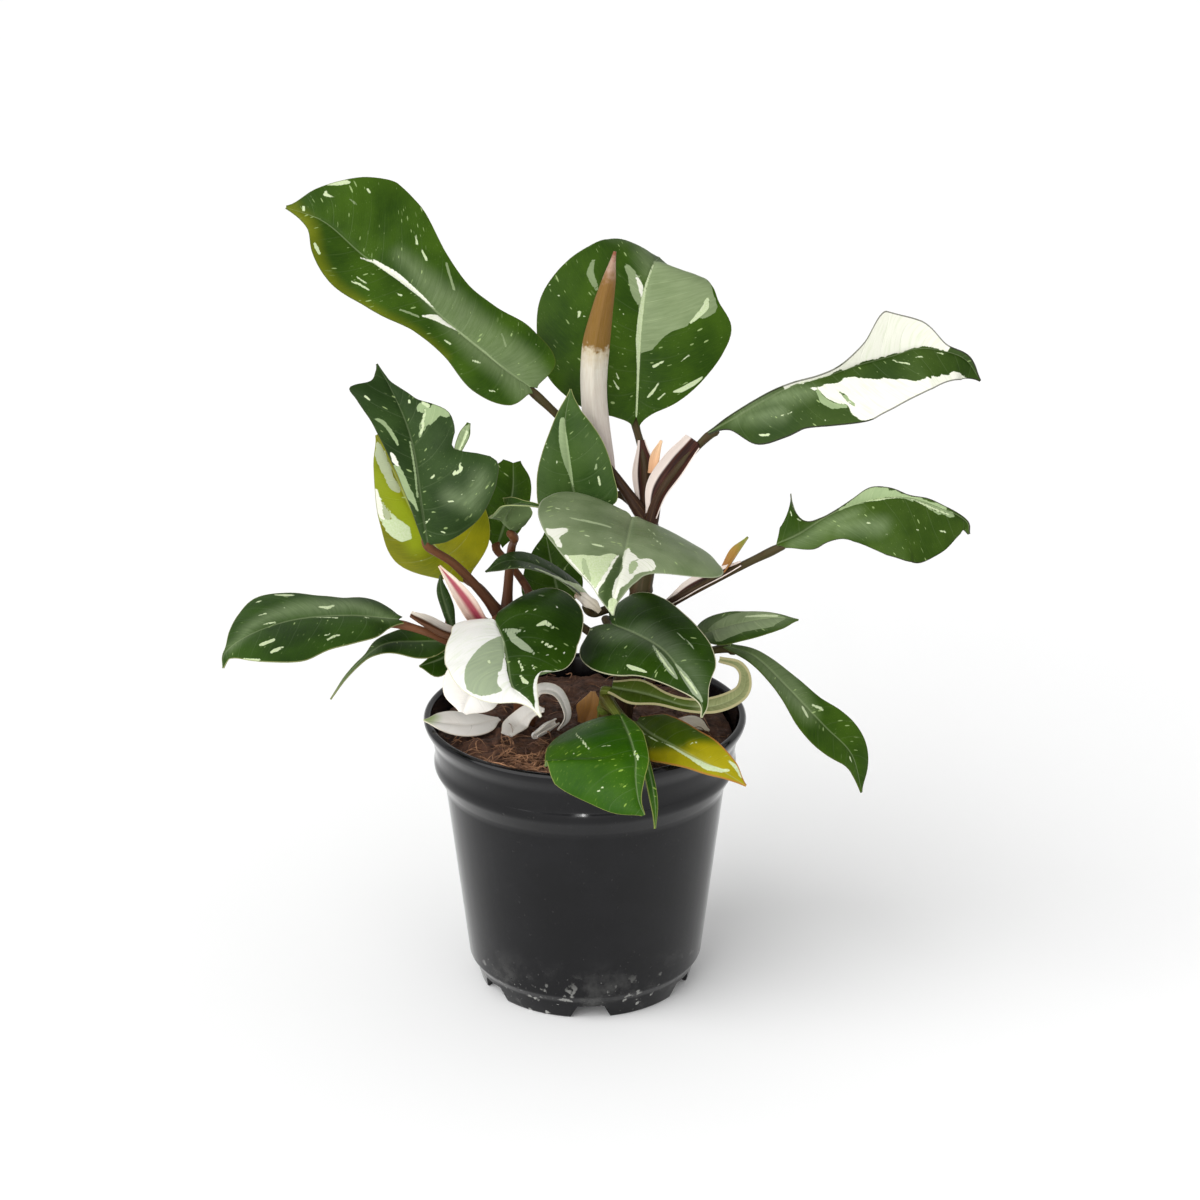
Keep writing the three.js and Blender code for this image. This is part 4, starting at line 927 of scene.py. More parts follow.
blade(
    "leaf_upright", upright_leaf, "leaf",
    spine=[(-1, 6, 183), (-4, 7, 191), (-6, 8, 204), (-7, 10, 217), (-5, 12, 228)],
    face=(0, -0.97, 0.2),
    left=[4, 14, 13, 9.5, 5.5, 2.5, 0.4],
    right=[4, 16, 16, 14, 10, 5, 0.4],
    fold=(26, 14), curl=(-26, -20), lobes=50,
    seen=[
        ("sage", [(562.25, 420, 0.9), (563.25, 440, 1.7), (566.25, 457.5, 1.6), (570, 472.5, 0.9),
            (574.5, 490, 0.3)]),
        ("sage", [(596.25, 462.5, 0.3), (595.5, 471.25, 0.45)]),
        ("pale", [(598.75, 476.25, 0.3), (600, 484.5, 0.5)]),
        ("sage", [(546.25, 442.5, 0.3), (548, 450, 0.35)]),
        ("pale", [(556.25, 460, 0.3), (557, 463.75, 0.3)]),
        ("pale", [(560, 478.75, 0.3), (559.5, 482.5, 0.3)]),
        ("pale", [(555, 497.5, 0.3), (558.75, 499.5, 0.3)]),
        ("pale", [(608.75, 495, 0.4), (610.5, 497.5, 0.35)]),
        ("pale", [(590, 481.25, 0.3), (591.25, 485.5, 0.3)]),
    ],
)
# The leaf that hangs over the middle faces up and is grey-green, with cream sectors at its lower edge
# that end along the side veins, and a dark green wedge between them.
grey_leaf = leaf_finish(
    "grey_leaf", Deep=(0.105, 0.148, 0.062), Fresh=(0.19, 0.24, 0.125), Sage=(0.32, 0.39, 0.22), Flecks=0.35,
    Specks=1.0, Margin=(0.30, 0.33, 0.22), Margin_Width=0.4, Rib=0.2, Gold=(0.02, 0.045, 0.004), Torn=0.6,
)
blade(
    "leaf_centre", grey_leaf, "leaf",
    spine=[(17, -12, 187), (15, -40, 187), (12, -62, 182), (10, -70, 177), (10, -73, 173)],
    face=(0.3, -0.1, 0.95), face_tip=(0.1, -0.5, 0.8),
    left=[4, 16, 26, 33, 34, 12, 6, 3, 0.4],
    right=[6, 29, 34, 34, 30, 23, 15, 7, 0.4],
    fold=((10, 6), (12, 8)), curl=((-22, -20), (-24, -20)), lobes=58, lean=10, torn=0.6,
    seen=[
        ("sage", [(565, 518.75, 0.4), (585, 521.25, 0.9), (610, 527.5, 0.8)]),
        ("cream", [(543.75, 526.25), (552.5, 528), (566.25, 527.5), (575, 530), (565, 533.75),
            (560, 537.5), (561.25, 545), (563.75, 550), (557.5, 546.25), (551.25, 537.5), (546.25, 531.25)]),
        ("pale", [(566.25, 555), (580, 555), (600, 556.25), (611.25, 552.5), (618, 556.25), (612.5, 565),
            (608.75, 572.5), (602.5, 582.5), (597.5, 592.5), (592.5, 595), (586.25, 590), (578.75, 581.25),
            (573.75, 572.5), (570, 562.5)]),
        ("cream", [(566.25, 556.25, 0.5), (573.75, 572.5, 0.9), (586.25, 590, 0.9), (593.75, 595, 0.7)]),
        ("cream", [(618, 556.25, 0.3), (608.75, 572.5, 0.6), (602.5, 582.5, 0.7), (596.25, 593.75, 0.5)]),
        ("sage", [(583.75, 560, 0.6), (586.25, 570, 1.1), (590, 580, 0.5)]),
        ("cream", [(627.5, 548.75), (630, 552.5), (638.75, 560), (650, 558.75), (656.25, 563.75),
            (655.5, 571.25), (647.5, 572.5), (637.5, 575), (627.5, 582.5), (620, 590), (616.25, 600),
            (614.5, 612.5), (612, 617.5), (610.5, 600), (615, 580), (621.25, 570), (622.5, 560),
            (625, 552.5)]),
        ("sage", [(627.5, 570), (630, 562.5), (635, 561.25), (638.75, 567.5), (633.75, 573.75),
            (628.75, 575)]),
        ("gold", [(620.5, 560, 2), (613.75, 575, 3.2), (608.75, 590, 3.4), (607.5, 603.75, 2.8)]),
        ("deep", [(610, 573.75), (618, 560), (623, 560.5), (620.5, 570), (615.5, 581.25), (612, 592.5),
            (611, 603.75), (605.5, 596.25), (603, 592.5)]),
        ("pale", [(590, 545, 0.3), (600, 546.25, 0.7), (611.25, 548, 0.3)]),
        ("pale", [(603.75, 539.5, 0.2), (612.5, 538, 0.35)]),
        ("pale", [(650, 537.5, 0.2), (662.5, 547.5, 0.4)]),
        ("pale", [(647.5, 530, 0.2), (657.5, 537.5, 0.3)]),
        ("pale", [(556.25, 508, 0.4), (560, 508.75, 0.4)]),
        ("pale", [(565, 509.5, 0.5), (568.75, 510.5, 0.4)]),
        ("pale", [(585, 536.25, 0.4), (588.75, 537, 0.3)]),
        ("pale", [(551.25, 502.5, 0.3), (553, 503.25, 0.3)]),
        ("pale", [(580, 499.5, 0.3), (583.75, 500.5, 0.3)]),
        ("pale", [(637.5, 500, 0.4), (640, 502.5, 0.4)]),
    ],
    marks=[
        ("pale", [(0.93, 0, 1.5), (1, 0, 1.5)]),
    ],
)
# The right-hand leaves reach out on long stalks. Two are folded up along the midrib, so their far halves
# stand like a sail, and the upper one is white over a whole sector.
sail_leaf = leaf_finish(
    "sail_leaf", Deep=(0.018, 0.044, 0.002), Fresh=(0.040, 0.078, 0.006), Flecks=0.35, Specks=0.9,
    Margin=(0.03, 0.02, 0.02),
    Margin_Width=0.3,
)
white_sail_leaf = leaf_finish(
    "white_sail_leaf", Deep=(0.014, 0.036, 0.002), Fresh=(0.034, 0.066, 0.007), Flecks=0.7, Specks=0.6,
    Margin=(0.02, 0.014, 0.014),
    Margin_Width=0.45,
)
blade(
    "leaf_right", sail_leaf, "leaf",
    spine=[(69, -12, 177), (77, -15, 182), (88, -19, 191), (100, -23, 197), (113, -27, 200),
        (126, -31, 197), (134, -33, 193), (135, -35, 189)],
    face=(0, -0.5, 0.86), face_tip=(0, -0.5, 0.86),
    left=[6.5, 16.5, 4, 0.8, 0.8, 2.4, 4.8, 3.5, 1, 1.6, 1.2, 0.8, 0.4],
    right=[5.5, 11.5, 12, 14, 18.5, 23.5, 27.5, 29.8, 28.5, 25.5, 18, 7.5, 0.5],
    fold=((30, 60, 50, 45, 40), (8, 4)), curl=((10, 0), (-24, -20)), lobes=-50, lean=20, wave=0.4,
    seen=[
        ("sage", [(840, 510), (855, 497.5), (867.5, 487.5), (885, 485.5), (900, 491.25), (910, 497),
            (930, 500), (942.5, 506.25), (952.5, 516.25), (940, 515), (920, 505), (900, 498), (880, 499.5),
            (860, 503.75)]),
        ("pale", [(866.25, 502, 0.3), (880, 499.5, 0.6), (897.5, 497.5, 0.4)]),
        ("pale", [(910, 500, 0.3), (930, 507.5, 0.5), (947.5, 515, 0.4)]),
        ("mist", [(795, 542.5, 1.5), (825, 527.5, 3), (855, 515, 2.5)]),
        ("pale", [(791.25, 511.25, 0.35), (792.5, 515, 0.35)]),
        ("pale", [(798.75, 518.75, 0.35), (800, 520, 0.35)]),
        ("pale", [(801.25, 505, 0.3), (802.5, 507.5, 0.3)]),
        ("pale", [(896.25, 525, 0.3), (898, 525.5, 0.3)]),
        ("pale", [(916.25, 530, 0.3), (918, 531.5, 0.3)]),
        ("pale", [(941.25, 531, 0.3), (943.75, 532.5, 0.3)]),
        ("pale", [(905, 540, 0.3), (906.25, 541.25, 0.3)]),
        ("pale", [(885, 535, 0.3), (886, 535.5, 0.3)]),
        ("pale", [(867.5, 523.75, 0.3), (871.25, 523.75, 0.3)]),
    ],
    marks=[
        ("mist", [(0.3, 0.5, 3), (0.5, 0.5, 3)]),
    ],
)
blade(
    "leaf_upper_right", white_sail_leaf, "leaf",
    spine=[(45, 8, 213), (53, 7, 218), (62, 6, 224), (74, 5, 231), (86, 4, 235), (97, 4, 239),
        (110, 3, 243), (119, 2, 246), (129, 1, 245), (136, 0, 242), (141, -1, 235)],
    face=(0.1, -0.55, 0.83), face_tip=(0, -0.6, 0.8),
    left=[0.5, 1.8, 2.1, 2.1, 1.5, 1.5, 3, 8.5, 18, 11, 3, 2, 0.4],
    right=[1, 4, 15, 18, 19, 21, 23.5, 22, 19.5, 18, 13, 8, 0.5],
    fold=((50, 70, 40), (8, 4)), curl=((10, 0), (-24, -20)), lobes=30, lean=20, wave=0.4,
    under=[
        ("cream", [(0.3, -0.04), (0.3, -1.15), (0.85, -1.15), (0.85, -0.04)]),
    ],
    seen=[
        ("cream", [(812.5, 388), (817.5, 393), (823.75, 404.25), (833.75, 409.25), (845.5, 407),
            (852.5, 413), (862.5, 420.5), (880, 420), (890, 417.5), (910, 410), (935, 398.75),
            (955, 386.25), (965, 380), (964, 374.5), (939.25, 376.5), (916.25, 380), (890, 380.5),
            (875, 379), (855, 377), (843.75, 380), (830, 385)]),
        ("sage", [(816.25, 390, 0.4), (823.75, 401.25, 1.2), (833.75, 406.25, 1.2), (847.5, 406.25, 0.6)]),
        ("sage", [(840, 392.5, 0.4), (847.5, 400, 0.7), (855, 406.25, 0.4)]),
        ("mist", [(737.5, 417.5, 2), (755, 405, 3), (792.5, 395, 3.5), (812.5, 392.5, 2)]),
        ("mist", [(750, 417.5, 2), (780, 412.5, 3)]),
        ("pale", [(760, 435, 0.3), (768.75, 434.5, 0.5)]),
        ("pale", [(822.5, 420, 0.3), (826.25, 421.25, 0.4)]),
        ("pale", [(780, 417.5, 0.25), (790, 412.5, 0.3)]),
        ("pale", [(895, 360, 0.2), (911.25, 363.75, 0.4)]),
        ("pale", [(915, 358, 0.2), (923.75, 357.5, 0.35)]),
        ("pale", [(936.25, 353.75, 0.3), (942.5, 354.25, 0.4)]),
    ],
)
blade(
    "leaf_right_small", upper_leaf, "leaf",
    spine=[(40, 2, 135), (50, 0, 140), (61, -3, 144), (70, -5, 146), (78, -7, 146)],
    face=(0, -0.3, 0.95),
    left=[2, 8, 8, 6, 4, 2, 0.4],
    right=[2, 5.5, 11, 12, 10.5, 7, 0.4],
    fold=(16, 10), curl=(-24, -15), lobes=40, lean=20, torn=0.5,
    under=[
        ("mist", [(0.15, 0, 6), (0.8, 0, 6)]),
    ],
    seen=[
        ("sage", [(707, 631), (727.5, 616.5), (746, 612), (771, 612), (787.5, 619.5), (774, 626.5),
            (743, 632.5), (715, 642)]),
    ],
    marks=[
        ("pale", [(0.5, -0.45, 0.3), (0.65, -0.4, 0.7), (0.8, -0.35, 0.5)]),
    ],
)
blade(
    "leaf_right_hanging", upper_leaf, "leaf",
    spine=[(53, 2, 132), (63, -4, 130), (75, -10, 120), (88, -14, 107), (98, -17, 97), (102, -20, 83)],
    face=(0.3, -0.5, 0.8), face_tip=(0.6, -0.7, 0.3),
    left=[2, 3, 4.5, 6, 7, 10, 9, 5.5, 0.4],
    right=[2, 4, 4.5, 6, 9.5, 10, 8, 3.5, 0.5],
    fold=(18, 12), curl=(-24, -15), lobes=40, lean=20,
    seen=[
        ("mist", [(715, 637.5, 3), (750, 652.5, 6), (785, 685, 7), (805, 710, 4)]),
    ],
    marks=[
        ("pale", [(0.5, -0.3, 0.4), (0.55, -0.5, 0.6)]),
        ("pale", [(0.47, 0.2, 0.5), (0.52, 0.35, 0.6)]),
        ("pale", [(0.8, 0.3, 0.3), (0.83, 0.4, 0.3)]),
    ],
)
# The left shoot's leaves: a dark ragged one with a round lobe, a yellowing one behind it, and smaller ones.
# The far left one lies level, grey along its midrib, partly as a painted sheen, and a strip of the one under
# it hangs down like a drip.
bluish_leaf = leaf_finish(
    "bluish_leaf", Deep=(0.010, 0.026, 0.003), Fresh=(0.026, 0.054, 0.010), Flecks=0.45, Specks=1.1,
    Margin=(0.05, 0.06, 0.03), Rib=0.1,
)
turning_leaf = leaf_finish(
    "turning_leaf", Deep=(0.10, 0.115, 0.001), Fresh=(0.21, 0.20, 0.002), Sage=(0.34, 0.38, 0.24),
    Flecks=0.3, Specks=0.2,
    Margin=(0.20, 0.20, 0.03), Gold=(0.22, 0.275, 0.008),
)
blade(
    "leaf_left", bluish_leaf, "leaf",
    spine=[(-56, -20, 181), (-58, -19, 196), (-60, -16, 212), (-63, -13, 223), (-68, -10, 234),
        (-73, -8, 243)],
    face=(0.05, -0.95, 0.3),
    left=[2, 2.7, 3.3, 3.9, 4.7, 6, 7.3, 9, 10.5, 12, 13, 14.4, 15.6, 16.3, 7, 3, 0.5],
    right=[2, 8.6, 15, 21, 25, 28, 28, 14.5, 16.5, 16.5, 12.4, 8, 5.7, 3.5, 1.5, 0.8, 0.4],
    fold=((20, 20), (14, 10)), curl=((-20, -10), (-24, -10)), lobes=50, lean=45,
    seen=[
        ("sage", [(396.25, 465, 1), (400.5, 477.5, 1.7), (407.5, 492.5, 1.5), (413.75, 502.5, 0.9),
            (417.5, 510, 0.3)]),
        ("cream", [(390.5, 452.5, 0.5), (394.5, 460, 0.9), (397.5, 465.5, 0.4)]),
        ("sage", [(372.5, 416.25, 0.3), (382.5, 422.5, 0.7), (392.5, 435, 0.7), (398.75, 446.25, 0.4)]),
        ("sage", [(421.25, 403.75), (427.5, 405), (436.25, 402.5), (445, 407.5), (450, 415),
            (442.5, 416.25), (435, 420), (427.5, 427.5), (422, 437.5), (418.75, 440), (419.5, 425),
            (422.5, 416.25), (418.75, 408.75)]),
        ("pale", [(421.25, 402.5, 0.5), (428.75, 406.25, 0.7)]),
        ("pale", [(425, 410, 0.4), (422.5, 420, 0.5), (420.5, 435, 0.3)]),
        ("sage", [(410, 442.5, 0.3), (415.5, 477.5, 0.4), (417.5, 497.5, 0.3)]),
        ("pale", [(453.75, 473, 0.7), (460, 470, 0.8), (463, 465, 0.5)]),
        ("pale", [(471.25, 467.5, 0.4), (475, 470, 0.35)]),
        ("pale", [(478.25, 465, 0.3), (480, 468.75, 0.35)]),
        ("pale", [(472.5, 477.5, 0.3), (473.75, 480, 0.3)]),
        ("pale", [(460, 492.5, 0.3), (462.5, 495, 0.3)]),
        ("pale", [(435, 497.5, 0.35), (437.5, 500, 0.3)]),
        ("pale", [(447.5, 500, 0.3), (453.75, 502.5, 0.3)]),
        ("pale", [(430, 480, 0.3), (435, 475, 0.35)]),
        ("pale", [(426.25, 522.5, 0.3), (430, 520, 0.3)]),
        ("pale", [(442.5, 530, 0.3), (445, 532.5, 0.3)]),
        ("pale", [(365, 396.25, 0.35), (368.75, 400, 0.35)]),
        ("pale", [(408.75, 400.5, 0.45), (410, 403, 0.45)]),
        ("mist", [(450, 497.5, 2), (470, 502.5, 3), (480, 480, 2)]),
    ],
)
blade(
    "leaf_yellow", turning_leaf, "leaf",
    spine=[(-45, 8, 158), (-55, 13, 167), (-64, 18, 180), (-71, 23, 194), (-77, 27, 206)],
    face=(0.1, -0.9, 0.4),
    left=[3, 9, 15.5, 13, 9.5, 5.5, 0.4],
    right=[3, 18, 24, 22, 17, 10, 0.5],
    fold=(16, 10), curl=(-24, -20), lobes=50, lean=20, torn=0.5,
    seen=[
        ("sage", [(376.25, 437.5), (382.5, 447.5), (390, 465), (396.25, 480), (401.25, 495),
            (393.75, 492.5), (385, 480), (377, 462.5), (374.5, 450)]),
        ("gold", [(376, 474, 3), (389, 496, 4), (405, 515, 4), (417, 543, 4)]),
        ("gold", [(370, 450, 2), (372.5, 470, 2)]),
        ("pale", [(373, 486.25), (380, 497.5), (388.75, 508.75), (400, 520), (410, 528.75),
            (412.5, 538.75), (402.5, 542.5), (393.75, 537.5), (385, 530), (378.75, 520), (375.5, 507.5),
            (373.75, 497.5)]),
        ("cream", [(373.75, 492.5, 1.2), (377.5, 505, 1.8), (383.75, 516.25, 1.2)]),
        ("sage", [(382.5, 502.5), (390, 512.5), (393.75, 520), (387.5, 522.5), (382.5, 516.25)]),
    ],
)
blade(
    "leaf_left_back", upper_leaf, "leaf",
    spine=[(-32, 20, 167), (-29, 27, 175), (-27, 33, 183), (-27, 40, 191)],
    face=(0.1, -0.9, 0.4),
    left=[3, 11, 12, 12, 4],
    right=[3, 6.5, 7, 6.5, 3],
    fold=(16, 10), curl=(-24, -20), lobes=45, lean=20,
)
blade(
    "leaf_curled", dark_leaf, "leaf",
    spine=[(-26, -2, 179), (-29, -8, 185), (-26, -13, 192), (-20, -17, 194), (-15, -18, 193)],
    face=(-0.2, -0.3, 0.9), face_tip=(0.1, -0.4, 0.9),
    left=[5, 11, 5, 1.5, 1],
    right=[4, 5.5, 5.5, 5, 0.8],
    fold=(30, 20), curl=(20, 20), lobes=30, lean=15,
    marks=[
        ("sage", [(0, 0.95, 0.6), (0.5, 0.95, 0.8), (1, 0.9, 0.5)]),
    ],
)
blade(
    "leaf_far_left", dark_leaf, "leaf",
    spine=[(-68, -12, 148), (-85, -16, 151), (-104, -20, 151), (-119, -26, 148), (-128, -31, 143),
        (-129, -34, 138)],
    face=(0, -0.22, 0.97), face_tip=(-0.5, -0.3, 0.8),
    left=[3, 7, 14, 18, 21, 26, 26, 22, 15, 6, 0.4],
    right=[3, 9, 13, 12, 14, 18, 21, 16, 9, 2, 0.4],
    fold=((14, 8), (16, 10)), curl=(-30, -20), lobes=45, lean=20,
    seen=[
        ("mist", [(388, 618, 2), (350, 605, 4), (310, 607, 4.5), (280, 614, 3), (250, 628, 2),
            (232, 648, 1.5)]),
        ("pale", [(277, 596.4, 0.4), (290, 596, 0.85), (296.4, 595.6, 0.35)]),
        ("pale", [(255, 603, 0.35), (262, 601.6, 0.6)]),
        ("pale", [(317, 607, 0.3), (328, 608.4, 0.9), (334, 606, 0.35)]),
        ("pale", [(316, 618, 0.25), (338, 618.4, 0.4)]),
        ("pale", [(262.4, 645, 0.9), (272, 641, 0.9), (275.2, 640, 0.3)]),
        ("pale", [(270, 653, 0.5), (278, 650, 1), (282.8, 646.8, 0.4)]),
        ("pale", [(325.6, 636, 0.45), (330.4, 634, 0.4)]),
        ("pale", [(327, 640.4, 0.35), (340, 635.2, 0.55)]),
        ("pale", [(258, 617, 0.25), (266.4, 614, 0.35)]),
        ("pale", [(264, 625, 0.25), (276, 623, 0.35)]),
        ("pale", [(244, 659.4, 0.4), (259.6, 660.4, 0.7)]),
        ("pale", [(364, 618, 0.4), (368, 619, 0.4)]),
        ("pale", [(282.4, 608, 0.3), (287, 608.6, 0.3)]),
    ],
)
blade(
    "leaf_left_drip", dark_leaf, "leaf",
    spine=[(-51, 2, 134), (-61, -1, 135), (-72, -5, 136), (-79, -8, 133), (-87, -12, 126), (-93, -15, 118)],
    face=(0, -0.35, 0.93),
    left=[3, 6.5, 10, 10, 7, 4, 1.6, 1, 0.8, 0.5, 0.3],
    right=[3, 5, 6.5, 7, 5, 3.5, 1.2, 1, 0.8, 0.5, 0.3],
    fold=(16, 10), curl=(-24, -15), lobes=40, lean=20,
    marks=[
        ("mist", [(0.55, 0, 2), (0.8, 0, 3), (1, 0, 3)]),
    ],
)
blade(
    "leaf_low_dark", dark_leaf, "leaf",
    spine=[(-50, 10, 126), (-54, 8, 124.5), (-58, 6, 123.7), (-61.5, 4, 123.3)],
    face=(0, -0.7, 0.7),
    left=[2, 6, 6, 0.4],
    right=[2, 3, 2, 0.4],
    fold=(16, 10), curl=(-24, -20), lobes=20, lean=10,
)
blade(
    "leaf_narrow", bluish_leaf, "leaf",
    spine=[(-49, 0, 141), (-51, 2, 147), (-53, 4, 154), (-53, 5, 159)],
    face=(0.2, -0.9, 0.3),
    left=[1.5, 1.8, 1.8, 0.4],
    right=[1.5, 3, 2.5, 0.4],
    fold=(16, 10), curl=(-24, -20), lobes=10, lean=10,
)
blade(
    "leaf_inner_dark", bluish_leaf, "leaf",
    spine=[(3, 10, 145), (-7, 6, 156), (-18, 2, 164), (-28, -2, 167), (-36, -5, 164)],
    face=(0.05, -0.15, 0.98),
    left=[3, 4, 5, 7, 9, 7, 0.4],
    right=[4, 7, 7, 7, 7, 4, 0.4],
    fold=(18, 10), curl=(-15, -10), lobes=30, lean=15,
    seen=[
        ("pale", [(535, 569.5, 0.6), (555, 580, 1.6), (575, 588, 2.2), (590, 595, 2)]),
    ],
)
blade(
    "leaf_inner_green", upper_leaf, "leaf",
    spine=[(-9, 24, 140), (-11, 28, 147), (-13, 33, 155), (-15, 38, 164)],
    face=(0, -0.85, 0.5),
    left=[3, 13, 11, 6, 0.5],
    right=[3, 10, 9, 6, 0.5],
    fold=(16, 10), curl=(-24, -20), lobes=35, lean=20,
)
# The leaf at the front left is split in colour along its midrib: one half is cream-white with a grey-green
# wedge beside the midrib, the other dark green. Both have a cream margin, and so has the leaf to its right.
edged_leaf = leaf_finish(
    "edged_leaf", Deep=(0.008, 0.025, 0.0005), Fresh=(0.022, 0.056, 0.002), Cream=(0.68, 0.675, 0.645),
    Sage=(0.24, 0.29, 0.19), Flecks=0.4, Specks=0.6,
    Margin=(0.50, 0.48, 0.32), Margin_Width=0.34, Mist=0.3, Torn=0.4,
)
blade(
    "leaf_half_white", edged_leaf, "leaf",
    spine=[(-32, -24, 152), (-29, -34, 149), (-27, -44, 144), (-25, -52, 138), (-19, -57, 134),
        (-15, -60, 130)],
    face=(0.1, -0.72, 0.68), face_tip=(0.1, -0.8, 0.6),
    left=[6, 32, 35, 30, 25, 18.5, 10.5, 3.5, 0.4],
    right=[3, 18, 20, 22, 22, 18, 5, 1.5, 0.5],
    fold=(10, 8), curl=((-30, -20), (-34, -20)), lobes=65, lean=0, wave=0.3, torn=0.25,
    under=[
        ("cream", [(0, 0.02), (0, 1.2), (0.5, 1.2), (0.8, 1.2), (1, 1.2), (1, 0.05), (0.6, 0.04),
            (0.3, 0.02)]),
    ],
    seen=[
        ("sage", [(502, 637), (490, 640.5), (477, 651.25), (468, 662.5), (464.25, 672.5), (465, 682.5),
            (470, 692), (480, 697), (495, 694.5), (503, 691.25), (498, 685), (497, 677.5), (502, 670),
            (503.75, 657.5), (505, 645)]),
        ("cream", [(500, 672.5, 0.5), (503, 682.5, 1.2), (515, 693.75, 1.4), (530, 705, 0.8)]),
        ("pale", [(488.75, 660, 0.4), (490, 663.75, 0.5)]),
        ("sage", [(506.25, 633.75, 0.5), (515, 639.5, 1.5), (523.75, 646.25, 1.6), (535.5, 655.5, 0.3)]),
        ("sage", [(503, 630.5, 0.5), (515, 631.5, 1), (525.5, 632.5, 0.3)]),
        ("pale", [(537.5, 626.25, 0.6), (545, 623, 1.1), (553, 628, 0.7)]),
        ("pale", [(540, 642.5, 0.4), (548.75, 646.25, 0.9), (555.5, 649, 0.5)]),
        ("pale", [(518.75, 661.25, 0.35), (522.5, 670, 0.5)]),
        ("pale", [(520.5, 675.5, 0.4), (525, 682, 0.9), (528, 684, 0.4)]),
        ("pale", [(532.5, 666.25, 0.4), (535, 670, 0.4)]),
        ("cream", [(563.75, 651.25, 0.3), (565, 655, 0.35)]),
        ("cream", [(540, 595, 0.35), (543.75, 596.75, 0.4)]),
        ("cream", [(554.5, 604.5, 0.3), (557.5, 609, 0.35)]),
        ("pale", [(523.75, 613, 0.3), (536.25, 609.5, 0.35)]),
        ("cream", [(545, 654.5, 0.3), (550.5, 656.5, 0.3)]),
    ],
    marks=[
        ("cream", [(0.62, -1, 0.5), (0.75, -1, 1.2), (0.9, -0.9, 1), (1, 0, 1)]),
    ],
)
blade(
    "leaf_front_right", edged_leaf, "leaf",
    spine=[(10, -14, 147), (20, -28, 148), (29, -42, 147), (36, -54, 141), (41, -60, 135), (41, -63, 131)],
    face=(-0.1, -0.6, 0.8), face_tip=(0.1, -0.7, 0.7),
    left=[12, 23, 21, 18, 16, 15, 12, 4.5, 0.4],
    right=[10, 19, 22, 21, 18, 12, 6, 1.6, 0.4],
    fold=(10, 8), curl=((-30, -20), (-28, -20)), lobes=60, lean=5, wave=0.3,
    seen=[
        ("mist", [(592.5, 613.75, 2), (640, 632.5, 4.5), (677.5, 657.5, 3.5), (701.25, 690, 1.5)]),
        ("sage", [(652.5, 645, 0.3), (660.5, 656.25, 1), (670, 670, 1.2), (677, 679.5, 0.4)]),
        ("pale", [(655.5, 648.75, 0.2), (665, 663.75, 0.45), (673.75, 675, 0.2)]),
        ("sage", [(675, 663.75, 0.3), (685, 677.5, 1.2), (695, 692.5, 1.2), (702, 702, 0.4)]),
        ("pale", [(678.75, 670, 0.2), (690, 683.75, 0.5), (697.5, 695, 0.3)]),
        ("pale", [(627.5, 665.5, 0.4), (635, 668.75, 1), (645.5, 672.5, 0.4)]),
        ("sage", [(675, 632.5, 0.25), (695, 650, 0.3)]),
        ("pale", [(622, 656.25, 0.3), (626.25, 657.5, 0.3)]),
        ("pale", [(586.25, 625, 0.3), (592.5, 630, 0.4)]),
    ],
)
# The low leaves at the front are new growth: bright green with fine specks. One turns yellow and orange
# towards its tip, one is a narrow sliver, and one is a pale strap that has curled back on itself.
bright_leaf = leaf_finish(
    "bright_leaf", Deep=(0.011, 0.052, 0.0004), Fresh=(0.034, 0.100, 0.0008), Flecks=0.4, Specks=1.8,
    Margin=(0.22, 0.24, 0.06), Fleck=(0.34, 0.50, 0.08),
)
gold_leaf = leaf_finish(
    "gold_leaf", Deep=(0.020, 0.042, 0.0004), Fresh=(0.055, 0.095, 0.0008), Flecks=0.3, Specks=0.4,
    Margin=(0.36, 0.14, 0.03),
    Margin_Width=0.55, Gold=(0.31, 0.265, 0.003), Torn=0.7,
)
strap_leaf = leaf_finish(
    "strap_leaf", Deep=(0.030, 0.055, 0.004), Fresh=(0.065, 0.095, 0.012), Sage=(0.30, 0.32, 0.15),
    Mist=1.0, Flecks=0.2, Specks=0.3, Margin=(0.50, 0.44, 0.24),
    Margin_Width=0.8,
)
blade(
    "leaf_front_bright", bright_leaf, "bright_leaf",
    spine=[
        (13, -36, 120), (16, -54, 120), (18, -66, 117), (18, -72, 112), (19, -75, 105), (21, -76.5, 100),
    ],
    face=(0, -0.75, 0.65), face_tip=(0, -0.9, 0.4),
    left=[3, 3.7, 4.5, 5.2, 5, 4.6, 3.2, 1.3, 0.4],
    right=[3.4, 19, 28.5, 31, 32, 32, 28.5, 15.5, 1],
    fold=((12, 10), (10, 8)), curl=((-20, -10), (-30, -20)), lobes=70, lean=0,
    seen=[
        ("pale", [(576.25, 732.5, 0.25), (582.5, 741.25, 0.5), (589.5, 750, 0.4)]),
        ("pale", [(603, 747, 0.5), (609.5, 746.25, 0.5)]),
        ("pale", [(573.75, 753.75, 0.3), (576.25, 756.25, 0.3)]),
        ("pale", [(637.5, 756.25, 0.4), (638, 760, 0.3)]),
        ("pale", [(631.25, 756.25, 0.2), (635, 751.25, 0.3)]),
        ("pale", [(597.5, 792.5, 0.2), (602.5, 787.5, 0.3)]),
    ],
)
